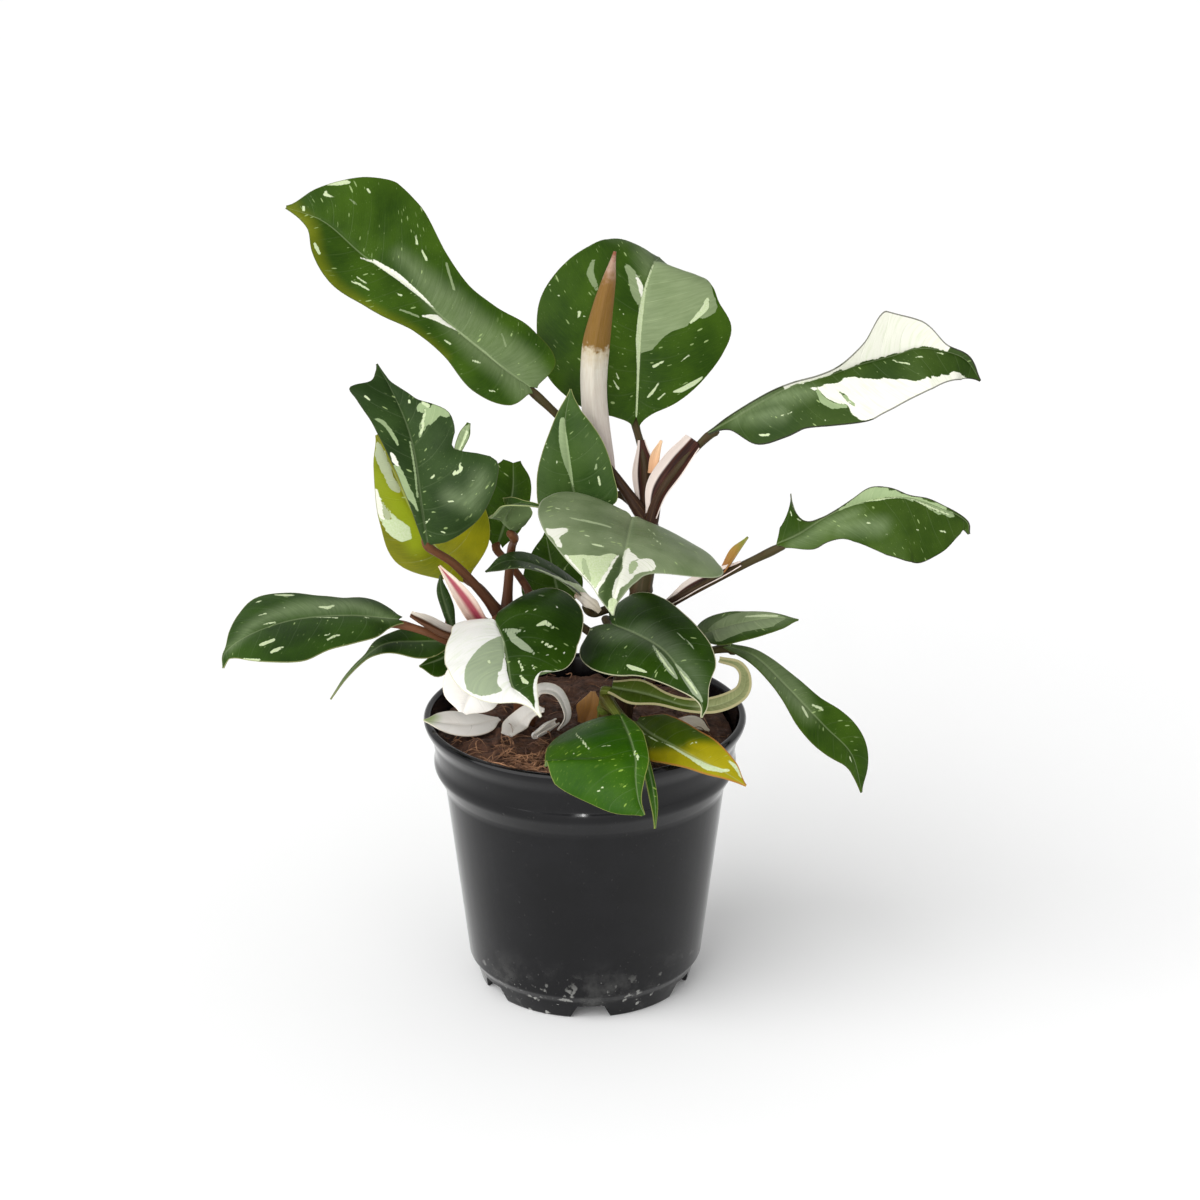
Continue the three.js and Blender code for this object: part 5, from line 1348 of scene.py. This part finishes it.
blade(
    "leaf_front_yellow", gold_leaf, "olive_leaf",
    spine=[(19, -23, 112), (24, -33, 112), (32, -44, 112), (41, -54, 111), (50, -59, 108), (57, -61, 104)],
    face=(0, -0.6, 0.8),
    left=[4, 10, 11, 11, 10.5, 9.8, 8, 5, 0.5],
    right=[3, 6.5, 10.5, 10.8, 8, 5.5, 4, 2, 0.3],
    fold=((14, 10), (8, 0)), curl=((-24, -15), (-10, -10)), lobes=35, lean=10,
    seen=[
        ("pale", [(640, 730, 0.25), (655, 740, 0.35), (672.5, 747.5, 0.4), (690, 757.5, 0.6),
            (707.5, 767.5, 1.2), (720, 770.5, 0.8), (730, 771.25, 0.3)]),
        ("pale", [(728.75, 761.25, 0.4), (737.5, 770, 0.8), (741.25, 777.5, 0.5)]),
        ("pale", [(689.5, 744, 0.4), (698, 742.5, 0.35)]),
    ],
    marks=[
        ("gold", [(0.3, 1, 2.5), (0.5, 0.7, 5), (0.75, 0.3, 8), (1, 0, 9)]),
        ("gold", [(0.55, -0.3, 2), (0.75, -0.6, 5), (1, 0, 6)]),
    ],
)
blade(
    "leaf_front_sliver", bright_leaf, "bright_leaf",
    spine=[(20, -41, 115), (22, -55, 111), (24, -62, 104), (25, -63, 96), (25, -64, 89)],
    face=(0.5, -0.8, 0.3),
    left=[1.2, 1.3, 1.4, 1.4, 0.4],
    right=[1.5, 2.5, 2.6, 2, 0.4],
    fold=(25, 15), curl=(-20, -15), lobes=10, lean=15,
)
blade(
    "leaf_curled_strap", strap_leaf, "olive_leaf",
    spine=[(10, -26, 127), (22, -32, 127), (36, -38, 125), (47, -38, 125), (56, -33, 127.5),
        (58, -27, 131.5), (55.5, -23, 134.8), (49, -20, 135.6)],
    face=(0.1, -0.6, 0.8), face_tip=(-0.3, -0.8, 0.4),
    left=[3, 5, 3, 3, 3.5, 3, 2, 1.2],
    right=[3, 6, 3, 2.5, 3, 3, 2, 1.2],
    fold=(20, 30), curl=(-20, -20), lobes=10, lean=10,
    marks=[
        ("mist", [(0.5, 0, 2), (0.65, 0, 5), (0.8, 0, 6), (1, 0, 6)]),
    ],
)
# Some leaves at the foot of the plant came out all white. They are thin, faintly pink at their base and
# edges, and three are only curled bracts.
white_leaf = leaf_finish(
    "white_leaf", Deep=(0.72, 0.68, 0.63), Fresh=(0.80, 0.78, 0.74), Sage=(0.62, 0.58, 0.50),
    Pale=(0.76, 0.70, 0.62),
    Cream=(0.82, 0.80, 0.76), Flecks=0.0, Specks=0.0, Rib=0.25, Margin=(0.74, 0.66, 0.54),
    Gold=(0.20, 0.34, 0.02), Gloss=0.42,
)
blade(
    "leaf_rim_white", white_leaf, "pale_leaf",
    spine=[(-32, -3, 105), (-42, -11, 106), (-52, -14, 108), (-59, -16, 110)],
    face=(0, -0.3, 0.95),
    left=[1, 6, 7, 5, 0.5],
    right=[1, 7, 8, 6, 0.5],
    fold=(16, 10), curl=(-24, -20), lobes=10, lean=15,
    marks=[
        ("gold", [(0.86, 0.9, 2), (0.97, 0.6, 2.5), (1, 0, 2.5)]),
    ],
)
blade(
    "leaf_white_under", white_leaf, "pale_leaf",
    spine=[(-31, -16, 136), (-36, -22, 130), (-41, -27, 125), (-44, -30, 119)],
    face=(0.1, -0.85, 0.5),
    left=[3, 6, 8.6, 9.8, 9.8, 7.5, 1.5],
    right=[3, 7.3, 10.5, 12, 11.8, 8.5, 1.5],
    fold=(16, 10), curl=(-30, -20), lobes=30, lean=10,
)
blade(
    "bract_curled", white_leaf, "pale_leaf",
    spine=[(-20, -5, 114), (-16, -7, 118), (-11, -9, 118), (-8, -10, 114), (-7, -11, 109), (-10, -11, 104)],
    face=(0.2, -0.6, 0.75), face_tip=(0.8, -0.5, 0.2),
    left=[2, 3, 3, 2.6, 2, 0.5],
    right=[2, 1.6, 1.6, 1.8, 1.5, 0.4],
    fold=(20, 30), curl=(-20, -20), lobes=0, lean=0, wave=0.8,
)
blade(
    "bract_crumpled", white_leaf, "pale_leaf",
    spine=[(-28, -16, 104), (-24, -9, 106), (-20, -9, 110), (-15, -11, 112)],
    face=(-0.2, -0.6, 0.75),
    left=[3, 5, 4.6, 3.4, 0.8],
    right=[2, 4, 3.6, 2.4, 0.8],
    fold=(20, 10), curl=(-20, -20), lobes=10, lean=10, wave=0.8,
)
blade(
    "bract_small", white_leaf, "pale_leaf",
    spine=[(-19, -16, 103.2), (-15, -11, 104.2), (-11, -7, 105.2)],
    face=(0.2, -0.8, 0.55),
    left=[3.5, 4.5, 3],
    right=[3.5, 4.5, 3],
    fold=(20, 10), curl=(120, 120), lobes=0, lean=0, wave=0.8,
)
# Thin sheaths and ligules wrap new growth where stalks part. The tall one is a leaf still rolled up in a
# spear: cream below, then orange-brown with a few brown dots where the two meet, and pink-brown at its tip.
def sheath_finish(
    name, stops, stripe=(0.3, 0.03, 0.06), stripe_amount=0.0, fibres=0.3, inside=None, half=None,
):
    """A thin dry skin: colours that follow each other along it, with fine fibres lengthwise, a stripe along
    its middle, and another colour on its inner side."""
    material, write, shader = new_finish(name)
    lengthwise, across = write.attribute("along"), write.attribute("across")
    veins = write.add("UVMap", uv_map="plan").outputs[0]
    fine = write.noise(write.scaled(veins, (1.5, 26, 1)), 1, 3)
    spots = write.noise(write.scaled(veins, (5, 5, 1)), 1, 3)
    wander = write.math("ADD", lengthwise, write.math("MULTIPLY", write.math("SUBTRACT", spots, 0.5), 0.12))
    ramp = write.add("ValToRGB", wander)
    for k, (at, colour) in enumerate(stops):
        stop = ramp.color_ramp.elements[k] if k < 2 else ramp.color_ramp.elements.new(at)
        stop.position, stop.color = at, (*colour, 1)
    tone = write.mix(write.step(fine, 0.35, 0.7, 0.0, fibres), ramp.outputs[0], (0.30, 0.16, 0.09))
    band = write.step(write.math("ABSOLUTE", across), 0.6, 0.15, 0.0, stripe_amount)
    tone = write.mix(band, tone, stripe)
    if half:
        tone = write.mix(write.step(across, 0.55, 0.35), tone, half)
    if inside:
        tone = write.mix(write.math("SUBTRACT", 1.0, write.attribute("under")), tone, inside)
    write.set(shader.inputs["Base Color"], tone)
    write.set(shader.inputs["Roughness"], write.step(fine, 0.3, 0.7, 0.45, 0.65))
    shader.inputs["Specular IOR Level"].default_value = 0.2
    bump(write, shader, fine, 0.0003, 0.5)
    return material


spear_skin = sheath_finish(
    "spear_skin",
    [
        (0.0, (0.56, 0.44, 0.40)), (0.12, (0.58, 0.51, 0.47)), (0.50, (0.54, 0.51, 0.43)),
        (0.57, (0.46, 0.40, 0.28)), (0.60, (0.165, 0.088, 0.010)), (0.86, (0.17, 0.085, 0.012)),
        (0.95, (0.36, 0.24, 0.18)), (1.0, (0.20, 0.06, 0.03)),
    ],
    fibres=0.18,
)
blushing_sheath = sheath_finish(
    "blushing_sheath", [
        (0.0, (0.50, 0.24, 0.20)), (0.3, (0.72, 0.56, 0.47)), (0.8, (0.82, 0.72, 0.62)),
        (1.0, (0.70, 0.55, 0.42)),
    ],
    stripe=(0.33, 0.02, 0.06), stripe_amount=0.9, fibres=0.15,
)
cream_sheath = sheath_finish(
    "cream_sheath", [
        (0.0, (0.55, 0.40, 0.28)), (0.3, (0.74, 0.68, 0.60)), (1.0, (0.70, 0.62, 0.48)),
    ], fibres=0.15,
)
rim_sheath = sheath_finish(
    "rim_sheath", [
        (0.0, (0.60, 0.50, 0.42)), (0.3, (0.76, 0.72, 0.66)), (1.0, (0.72, 0.66, 0.56)),
    ], fibres=0.15, half=(0.10, 0.040, 0.016),
)
green_tipped_skin = sheath_finish(
    "green_tipped_skin", [
        (0.0, (0.30, 0.12, 0.03)), (0.5, (0.30, 0.17, 0.02)), (0.85, (0.16, 0.19, 0.02)),
    ], fibres=0.4,
)
brown_skin = sheath_finish(
    "brown_skin", [
        (0.0, (0.30, 0.13, 0.03)), (0.5, (0.42, 0.20, 0.05)), (1.0, (0.52, 0.28, 0.10)),
    ], fibres=0.5,
)
peach_skin = sheath_finish("peach_skin", [(0.0, (0.60, 0.33, 0.18)), (1.0, (0.75, 0.52, 0.32))], fibres=0.2)
blade(
    "new_leaf", spear_skin, "sheath",
    spine=[(9, 18, 189), (5, 20, 206), (3, 22, 222), (3.5, 24.5, 238), (6, 26, 253), (8.5, 27, 264),
        (11, 28, 275)],
    face=(0.1, 0.95, -0.2),
    left=[4, 6, 6.6, 6.8, 7, 6.6, 5.2, 3.2, 0.5],
    right=[4, 6, 6.6, 6.8, 7, 6.6, 5.2, 3.2, 0.5],
    fold=(10, 10), curl=(70, 60), lobes=0, lean=0, wave=0.3, grid=0.6,
)
blade(
    "sheath_left", blushing_sheath, "sheath",
    spine=[(-38, -11, 148), (-42, -15, 156), (-47, -17, 164), (-52, -18, 171)],
    face=(-0.3, -0.8, 0.5),
    left=[4, 4.5, 4, 2.5, 0.5],
    right=[4, 4.5, 4, 2.5, 0.5],
    fold=(15, 15), curl=(50, 40), lobes=10, lean=10, wave=0.3, grid=0.6,
)
blade(
    "sheath_far_left", rim_sheath, "sheath",
    spine=[(-46, -8, 139), (-52, -12, 142), (-58, -15, 147), (-63, -16, 151)],
    face=(0, -0.3, 0.95),
    left=[4, 5, 5, 4, 2],
    right=[4, 5, 5, 4, 2],
    fold=(20, 20), curl=(40, 40), lobes=10, lean=10, wave=0.3, grid=0.6,
)
blade(
    "ligule_right", green_tipped_skin, "dry_sheath",
    spine=[(50.8, -5.4, 164.6), (55, -5.9, 171.6), (59, -7, 178)],
    face=(-0.6, -0.4, 0.7),
    left=[2, 2.8, 0.5],
    right=[2, 2.8, 0.5],
    fold=(10, 10), curl=(40, 40), lobes=0, lean=0, wave=0.3, grid=0.6,
)
blade(
    "ligule_centre", peach_skin, "sheath",
    spine=[(25, 12, 196), (26, 14, 202), (28, 14, 208)],
    face=(-0.3, -0.9, 0.2),
    left=[2, 2, 0.5],
    right=[2, 2, 0.5],
    fold=(10, 10), curl=(40, 40), lobes=0, lean=0, wave=0.3, grid=0.6,
)
blade(
    "dried_scale", brown_skin, "dry_sheath",
    spine=[(0, -2, 103), (2, -2, 109), (3, -3, 116)],
    face=(0.2, -0.85, 0.5),
    left=[3, 5.5, 1],
    right=[2, 4.5, 1],
    fold=(20, 10), curl=(-20, -20), lobes=0, lean=10, wave=0.3, grid=0.6,
)
blade(
    "pale_piece", cream_sheath, "sheath",
    spine=[(33, 2, 102), (40, -1, 103), (46, -7, 102)],
    face=(0, -0.5, 0.85),
    left=[1, 3, 0.5],
    right=[1, 3, 0.5],
    fold=(10, 10), curl=(-30, -20), lobes=0, lean=0, wave=0.3, grid=0.6,
)
# Two small pieces that no CAD node has: a pale strip torn loose from the ragged leaf's edge, and the crumpled
# dry base of the inner dark leaf.
blade(
    "torn_strip", upper_leaf, "leaf",
    spine=[(-46.5, -16, 208.5), seen_at(458, 451, -15), seen_at(464, 437, -13.5), seen_at(469, 423, -12.5)],
    face=(0, -0.97, 0.25),
    left=[0.8, 1.3, 2.0, 2.0, 0.7],
    right=[0.8, 1.2, 1.6, 1.8, 0.7],
    lobes=0, lean=0, grid=0.5, added=True,
    marks=[
        ("sage", [(0, -1.3), (0, 1.3), (1, 1.3), (1, -1.3)]),
        ("pale", [(0.3, 0.3, 0.3), (0.8, 0.2, 0.5)]),
    ],
)
blade(
    "crumpled_base", cream_sheath, "sheath",
    spine=[seen_at(576, 594, 6), seen_at(584, 597, 3.5), seen_at(592, 603, 2.5), seen_at(600, 611, 3)],
    face=(0, -0.6, 0.8),
    left=[1.5, 3.2, 2.4, 3.4, 1.2],
    right=[1.5, 2.6, 3.6, 2.4, 1.2],
    fold=(25, 25), curl=(-120, -90), lobes=0, lean=0, wave=2.5, grid=0.4, added=True,
)

# Three shoots stand in the soil. Each is a round stem that sends a stalk to every leaf, and it is ringed by
# the scars of old leaves. A stalk is round with a shallow groove above and ends under its leaf's midrib.
shoot_group, write, given, result = new_group(
    "shoot_skin",
    {
        "Low": (0.034, 0.014, 0.007), "High": (0.046, 0.037, 0.012), "Streak": (0.09, 0.05, 0.022),
        "Edge": (0.72, 0.62, 0.56),
    },
    {"Color": "Color", "Roughness": "Float", "Height": "Float"},
)
lengthwise = write.attribute("along")
place = write.add("TexCoord").outputs["Object"]
mottle = write.noise(place, 260, 3)
lines = write.noise(write.scaled(write.add("UVMap", uv_map="skin").outputs[0], (0.6, 9, 1)), 1, 3)
tone = write.mix(write.step(lengthwise, 0.05, 0.95), given["Low"], given["High"])
tone = write.mix(write.step(lines, 0.5, 0.72, 0.0, 0.6), tone, given["Streak"])
tone = write.mix(write.step(mottle, 0.55, 0.75, 0.0, 0.5), tone, (0.05, 0.018, 0.012))
tone = write.mix(
    write.step(lengthwise, 1.2, 1.6), tone,
    write.mix(write.step(lines, 0.4, 0.7), (0.022, 0.008, 0.006), (0.075, 0.022, 0.012)),
)
tone = write.mix(write.step(write.attribute("pale_edge"), 0.5, 0.62), tone, given["Edge"])
write.set(result["Color"], tone)
write.set(result["Roughness"], write.step(mottle, 0.3, 0.7, 0.42, 0.6))
write.set(result["Height"], lines)


def shoot_finish(name, **values):
    """The material of a shoot: its skin, with its own colours, and a weak shine."""
    material, write, shader = new_finish(name)
    out = place_group(write, shoot_group, **values)
    write.set(shader.inputs["Base Color"], out["Color"])
    write.set(shader.inputs["Roughness"], out["Roughness"])
    shader.inputs["Specular IOR Level"].default_value = 0.15
    bump(write, shader, out["Height"], 0.0003, 0.5)
    return material


CLEARANCE = 0.35


def under_midrib(leaf, radius):
    """The last two points of a stalk: 2.5 mm before and 3 mm past the start of the leaf's midrib, and below
    it by half the blade, a small clearance and the stalk's radius."""
    spine, face = leaf_starts[leaf]
    line, ahead, length = smooth_path(spine, [0, 3.0 / smooth_path(spine, [0, 1])[2]])
    up = np.array(face, float)
    up -= (up @ ahead[0]) * ahead[0]
    drop = up / np.linalg.norm(up) * (HALF_BLADE + CLEARANCE + radius + 0.1)
    return [line[0] - 2.5 * ahead[0] - drop, line[1] - drop]


def grooved(angle):
    """A stalk's outline: round, with a shallow groove on one side."""
    return 1 - 0.16 * np.exp(-((np.minimum(angle, 2 * np.pi - angle) / 0.5) ** 2))


def shoot(name, finish, foot, rise, radii, stalks, wings=()):
    """A stem and its stalks in one piece: tubes along smooth paths, whose radius eases from root to end and
    swells where one starts, and the thin wings of its sheathed stalks."""
    parts, lengthwise, pale_edge, skin = [], [], [], []
    n = 60
    s = np.linspace(0, 1, n)
    line, ahead, length = smooth_path([(foot[0], foot[1], 70), (foot[0], foot[1], 90), *rise], s)
    scar_heights = np.arange(rise[0][2] + 5, rise[-1][2] - 4, 9.5)
    scars = sum(0.55 * np.exp(-(((line[:, 2] - z) / 0.8) ** 2)) for z in scar_heights)
    rounded_end = 1 - 0.5 * np.maximum(s - 0.93, 0) / 0.07
    thickness = (radii[0] + (radii[1] - radii[0]) * s) * rounded_end + scars
    paths = [(line, ahead, thickness, None, length)]
    for leaf_name, path in stalks.items():
        end = 1.3 if leaf_name.startswith("leaf") else 1.1
        s = np.linspace(0, 1, 44)
        line, ahead, length = smooth_path([*path, *under_midrib(leaf_name, end)], s)
        swollen_start, swollen_end = np.exp(-((s / 0.16) ** 2)), np.exp(-(((s - 0.9) / 0.07) ** 2))
        radius = end + 0.7 * (1 - s) + 0.9 * swollen_start + 0.35 * swollen_end
        radius[-1] *= 0.55
        paths.append((line, ahead, radius, grooved, length))
    for line, ahead, radius, outline, length in paths:
        points, faces = tube(line, ahead, radius, 20, outline)
        parts.append((points, faces))
        s = np.linspace(0, 1, len(line))
        lengthwise.append(np.concatenate([np.repeat(s, 20), [0, 1]]))
        pale_edge.append(np.zeros(len(points)))
        round_about = np.tile(np.abs(np.arange(20) - 10) / 10, len(line))
        run = np.concatenate([np.repeat(s * length / 10, 20), [0, length / 10]]) + 7 * len(parts)
        skin.append(np.column_stack([run, np.concatenate([round_about, [0, 0]])]))
    for wing in wings:
        wing = {"lobes": 0, "lean": 0, **wing}
        wing["fold"], wing["curl"] = (wing["fold"], wing["fold"]), (wing["curl"], wing["curl"])
        t, s = np.meshgrid(np.linspace(0, 1, 40), np.linspace(-1, 1, 25), indexing="ij")
        points, plan, width, length = leaf_sheet(wing, t, s)
        up = np.cross(np.gradient(points, axis=1), np.gradient(points, axis=0))
        up /= np.linalg.norm(up, axis=-1, keepdims=True)
        half = HALF_BLADE - 0.2 * s**2
        above, below = points + up * half[..., None], points - up * half[..., None]
        both = np.vstack([above.reshape(-1, 3), below.reshape(-1, 3)])
        rows, across = t.shape
        parts.append((both, sheet_faces(rows, across)))
        lengthwise.append(np.tile(2 + t.ravel(), 2))
        pale_edge.append(np.tile(np.where(s.ravel() < 0, -s.ravel(), s.ravel() ** 5), 2))
        skin.append(np.tile(np.column_stack([t.ravel() * length / 10 + 7 * len(parts), s.ravel()]), (2, 1)))
    points, faces = joined(parts)
    made = piece(name.replace("stem", "shoot"), points, faces, name, finish, smooth=50)
    for key, values in (("along", lengthwise), ("pale_edge", pale_edge)):
        made.data.attributes.new(key, "FLOAT", "POINT").data.foreach_set(
            "value", np.concatenate(values).astype(np.float32),
        )
    corners = np.zeros(len(made.data.loops), np.int32)
    made.data.loops.foreach_get("vertex_index", corners)
    made.data.uv_layers.new(name="skin").data.foreach_set(
        "uv", np.vstack(skin)[corners].ravel().astype(np.float32),
    )
    return made


brown_shoot = shoot_finish("brown_shoot")
red_brown_shoot = shoot_finish("red_brown_shoot", Low=(0.07, 0.026, 0.012), High=(0.13, 0.050, 0.020))
green_shoot = shoot_finish(
    "green_shoot", Low=(0.07, 0.06, 0.01), High=(0.09, 0.13, 0.012), Streak=(0.20, 0.22, 0.06),
)
shoot(
    "stem_centre", brown_shoot,
    foot=(13, 5), rise=[
        (13, 5, 101), (15, 5, 118), (20, 5, 149), (23, 8, 168), (24, 11, 184),
    ], radii=(5, 3.6),
    stalks={
        "leaf_upper_left": [(23, 10, 178), (9, 14, 197), (-6, 16, 213)],
        "leaf_upper_centre": [(23, 12, 180), (22, 23, 197)],
        "leaf_upper_right": [(24, 9, 178), (27, 9, 188), (34, 9, 199)],
        "leaf_upright": [(22, 8, 168), (12, 9, 178)],
        "leaf_centre": [(23, 8, 172), (21, 0, 181)],
        "new_leaf": [(23, 10, 180), (14, 16, 186)],
        "leaf_right": [(21, 5, 138), (29, 1, 148), (49, -5, 162)],
        "leaf_inner_dark": [(19, 5, 140), (11, 10, 144)],
        "leaf_inner_green": [(17, 6, 122), (4, 17, 130), (-5, 22, 135)],
        "leaf_front_right": [(18, 4, 136), (8, -4, 145)],
        "leaf_right_small": [(16, 5, 116), (28, 5, 129)],
        "leaf_right_hanging": [(16, 5, 110), (34, 7, 124)],
    },
    wings=[
        dict(
            spine=[(25, 8, 181), (28, 9, 190), (34, 9, 199), (41, 8, 209)], face=(-0.5, -0.75, 0.4),
            left=[3, 6.5, 7, 5.5], right=[3, 5, 6, 4.5], fold=(10, 20), curl=(40, 40),
        ),
        dict(
            spine=[(22, 13, 182), (22, 20, 193), (21, 27, 204)], face=(-0.1, -0.97, 0.2), left=[3, 5, 1.5],
            right=[3, 5.5, 1.5], fold=(10, 10), curl=(40, 40),
        ),
        dict(
            spine=[(30, 0, 149), (40, -2, 156), (50, -6, 163), (57, -8, 168)], face=(-0.2, -0.5, 0.85),
            left=[2, 4.5, 4, 1.5], right=[2, 3.5, 3, 1.5], fold=(20, 20), curl=(30, 30),
        ),
    ],
)
shoot(
    "stem_left", red_brown_shoot,
    foot=(-22, 0), rise=[(-22, 0, 101), (-24, -1, 118), (-27, -3, 136), (-31, -6, 150)], radii=(4.5, 3),
    stalks={
        "leaf_left": [(-30, -6, 146), (-37, -9, 157), (-47, -13, 170)],
        "leaf_yellow": [(-30, -5, 146), (-38, 3, 154)],
        "leaf_left_back": [(-26, -2, 132), (-20, 6, 148), (-27, 14, 159)],
        "leaf_curled": [(-29, -4, 144), (-28, 8, 158), (-27, 9, 168)],
        "leaf_far_left": [(-28, -4, 138), (-45, -6, 136), (-57, -12, 143)],
        "leaf_left_drip": [(-26, -2, 128), (-40, 2, 132)],
        "leaf_low_dark": [(-24, -1, 116), (-38, 8, 122)],
        "leaf_narrow": [(-28, -3, 138), (-40, 0, 137)],
        "leaf_half_white": [(-30, -5, 143), (-31, -14, 149)],
        "leaf_white_under": [(-27, -3, 132), (-29, -10, 135)],
        "sheath_left": [(-29, -5, 142), (-34, -8, 145)],
    },
)
shoot(
    "stem_front", green_shoot,
    foot=(6, -16), rise=[(6, -16, 101), (7, -18, 112), (8, -20, 124)], radii=(3.5, 2.2),
    stalks={
        "leaf_front_bright": [(8, -20, 121), (9, -26, 121)],
        "leaf_front_yellow": [(7, -18, 114), (12, -22, 111)],
        "leaf_front_sliver": [(8, -20, 119), (13, -28, 117)],
        "leaf_curled_strap": [(8, -19, 120), (7, -22, 124)],
    },
)

# The end: the last line holds both boxes.
visual_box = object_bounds()
{"cad": [list(corner) for corner in cad_box], "visual": [list(corner) for corner in visual_box]}
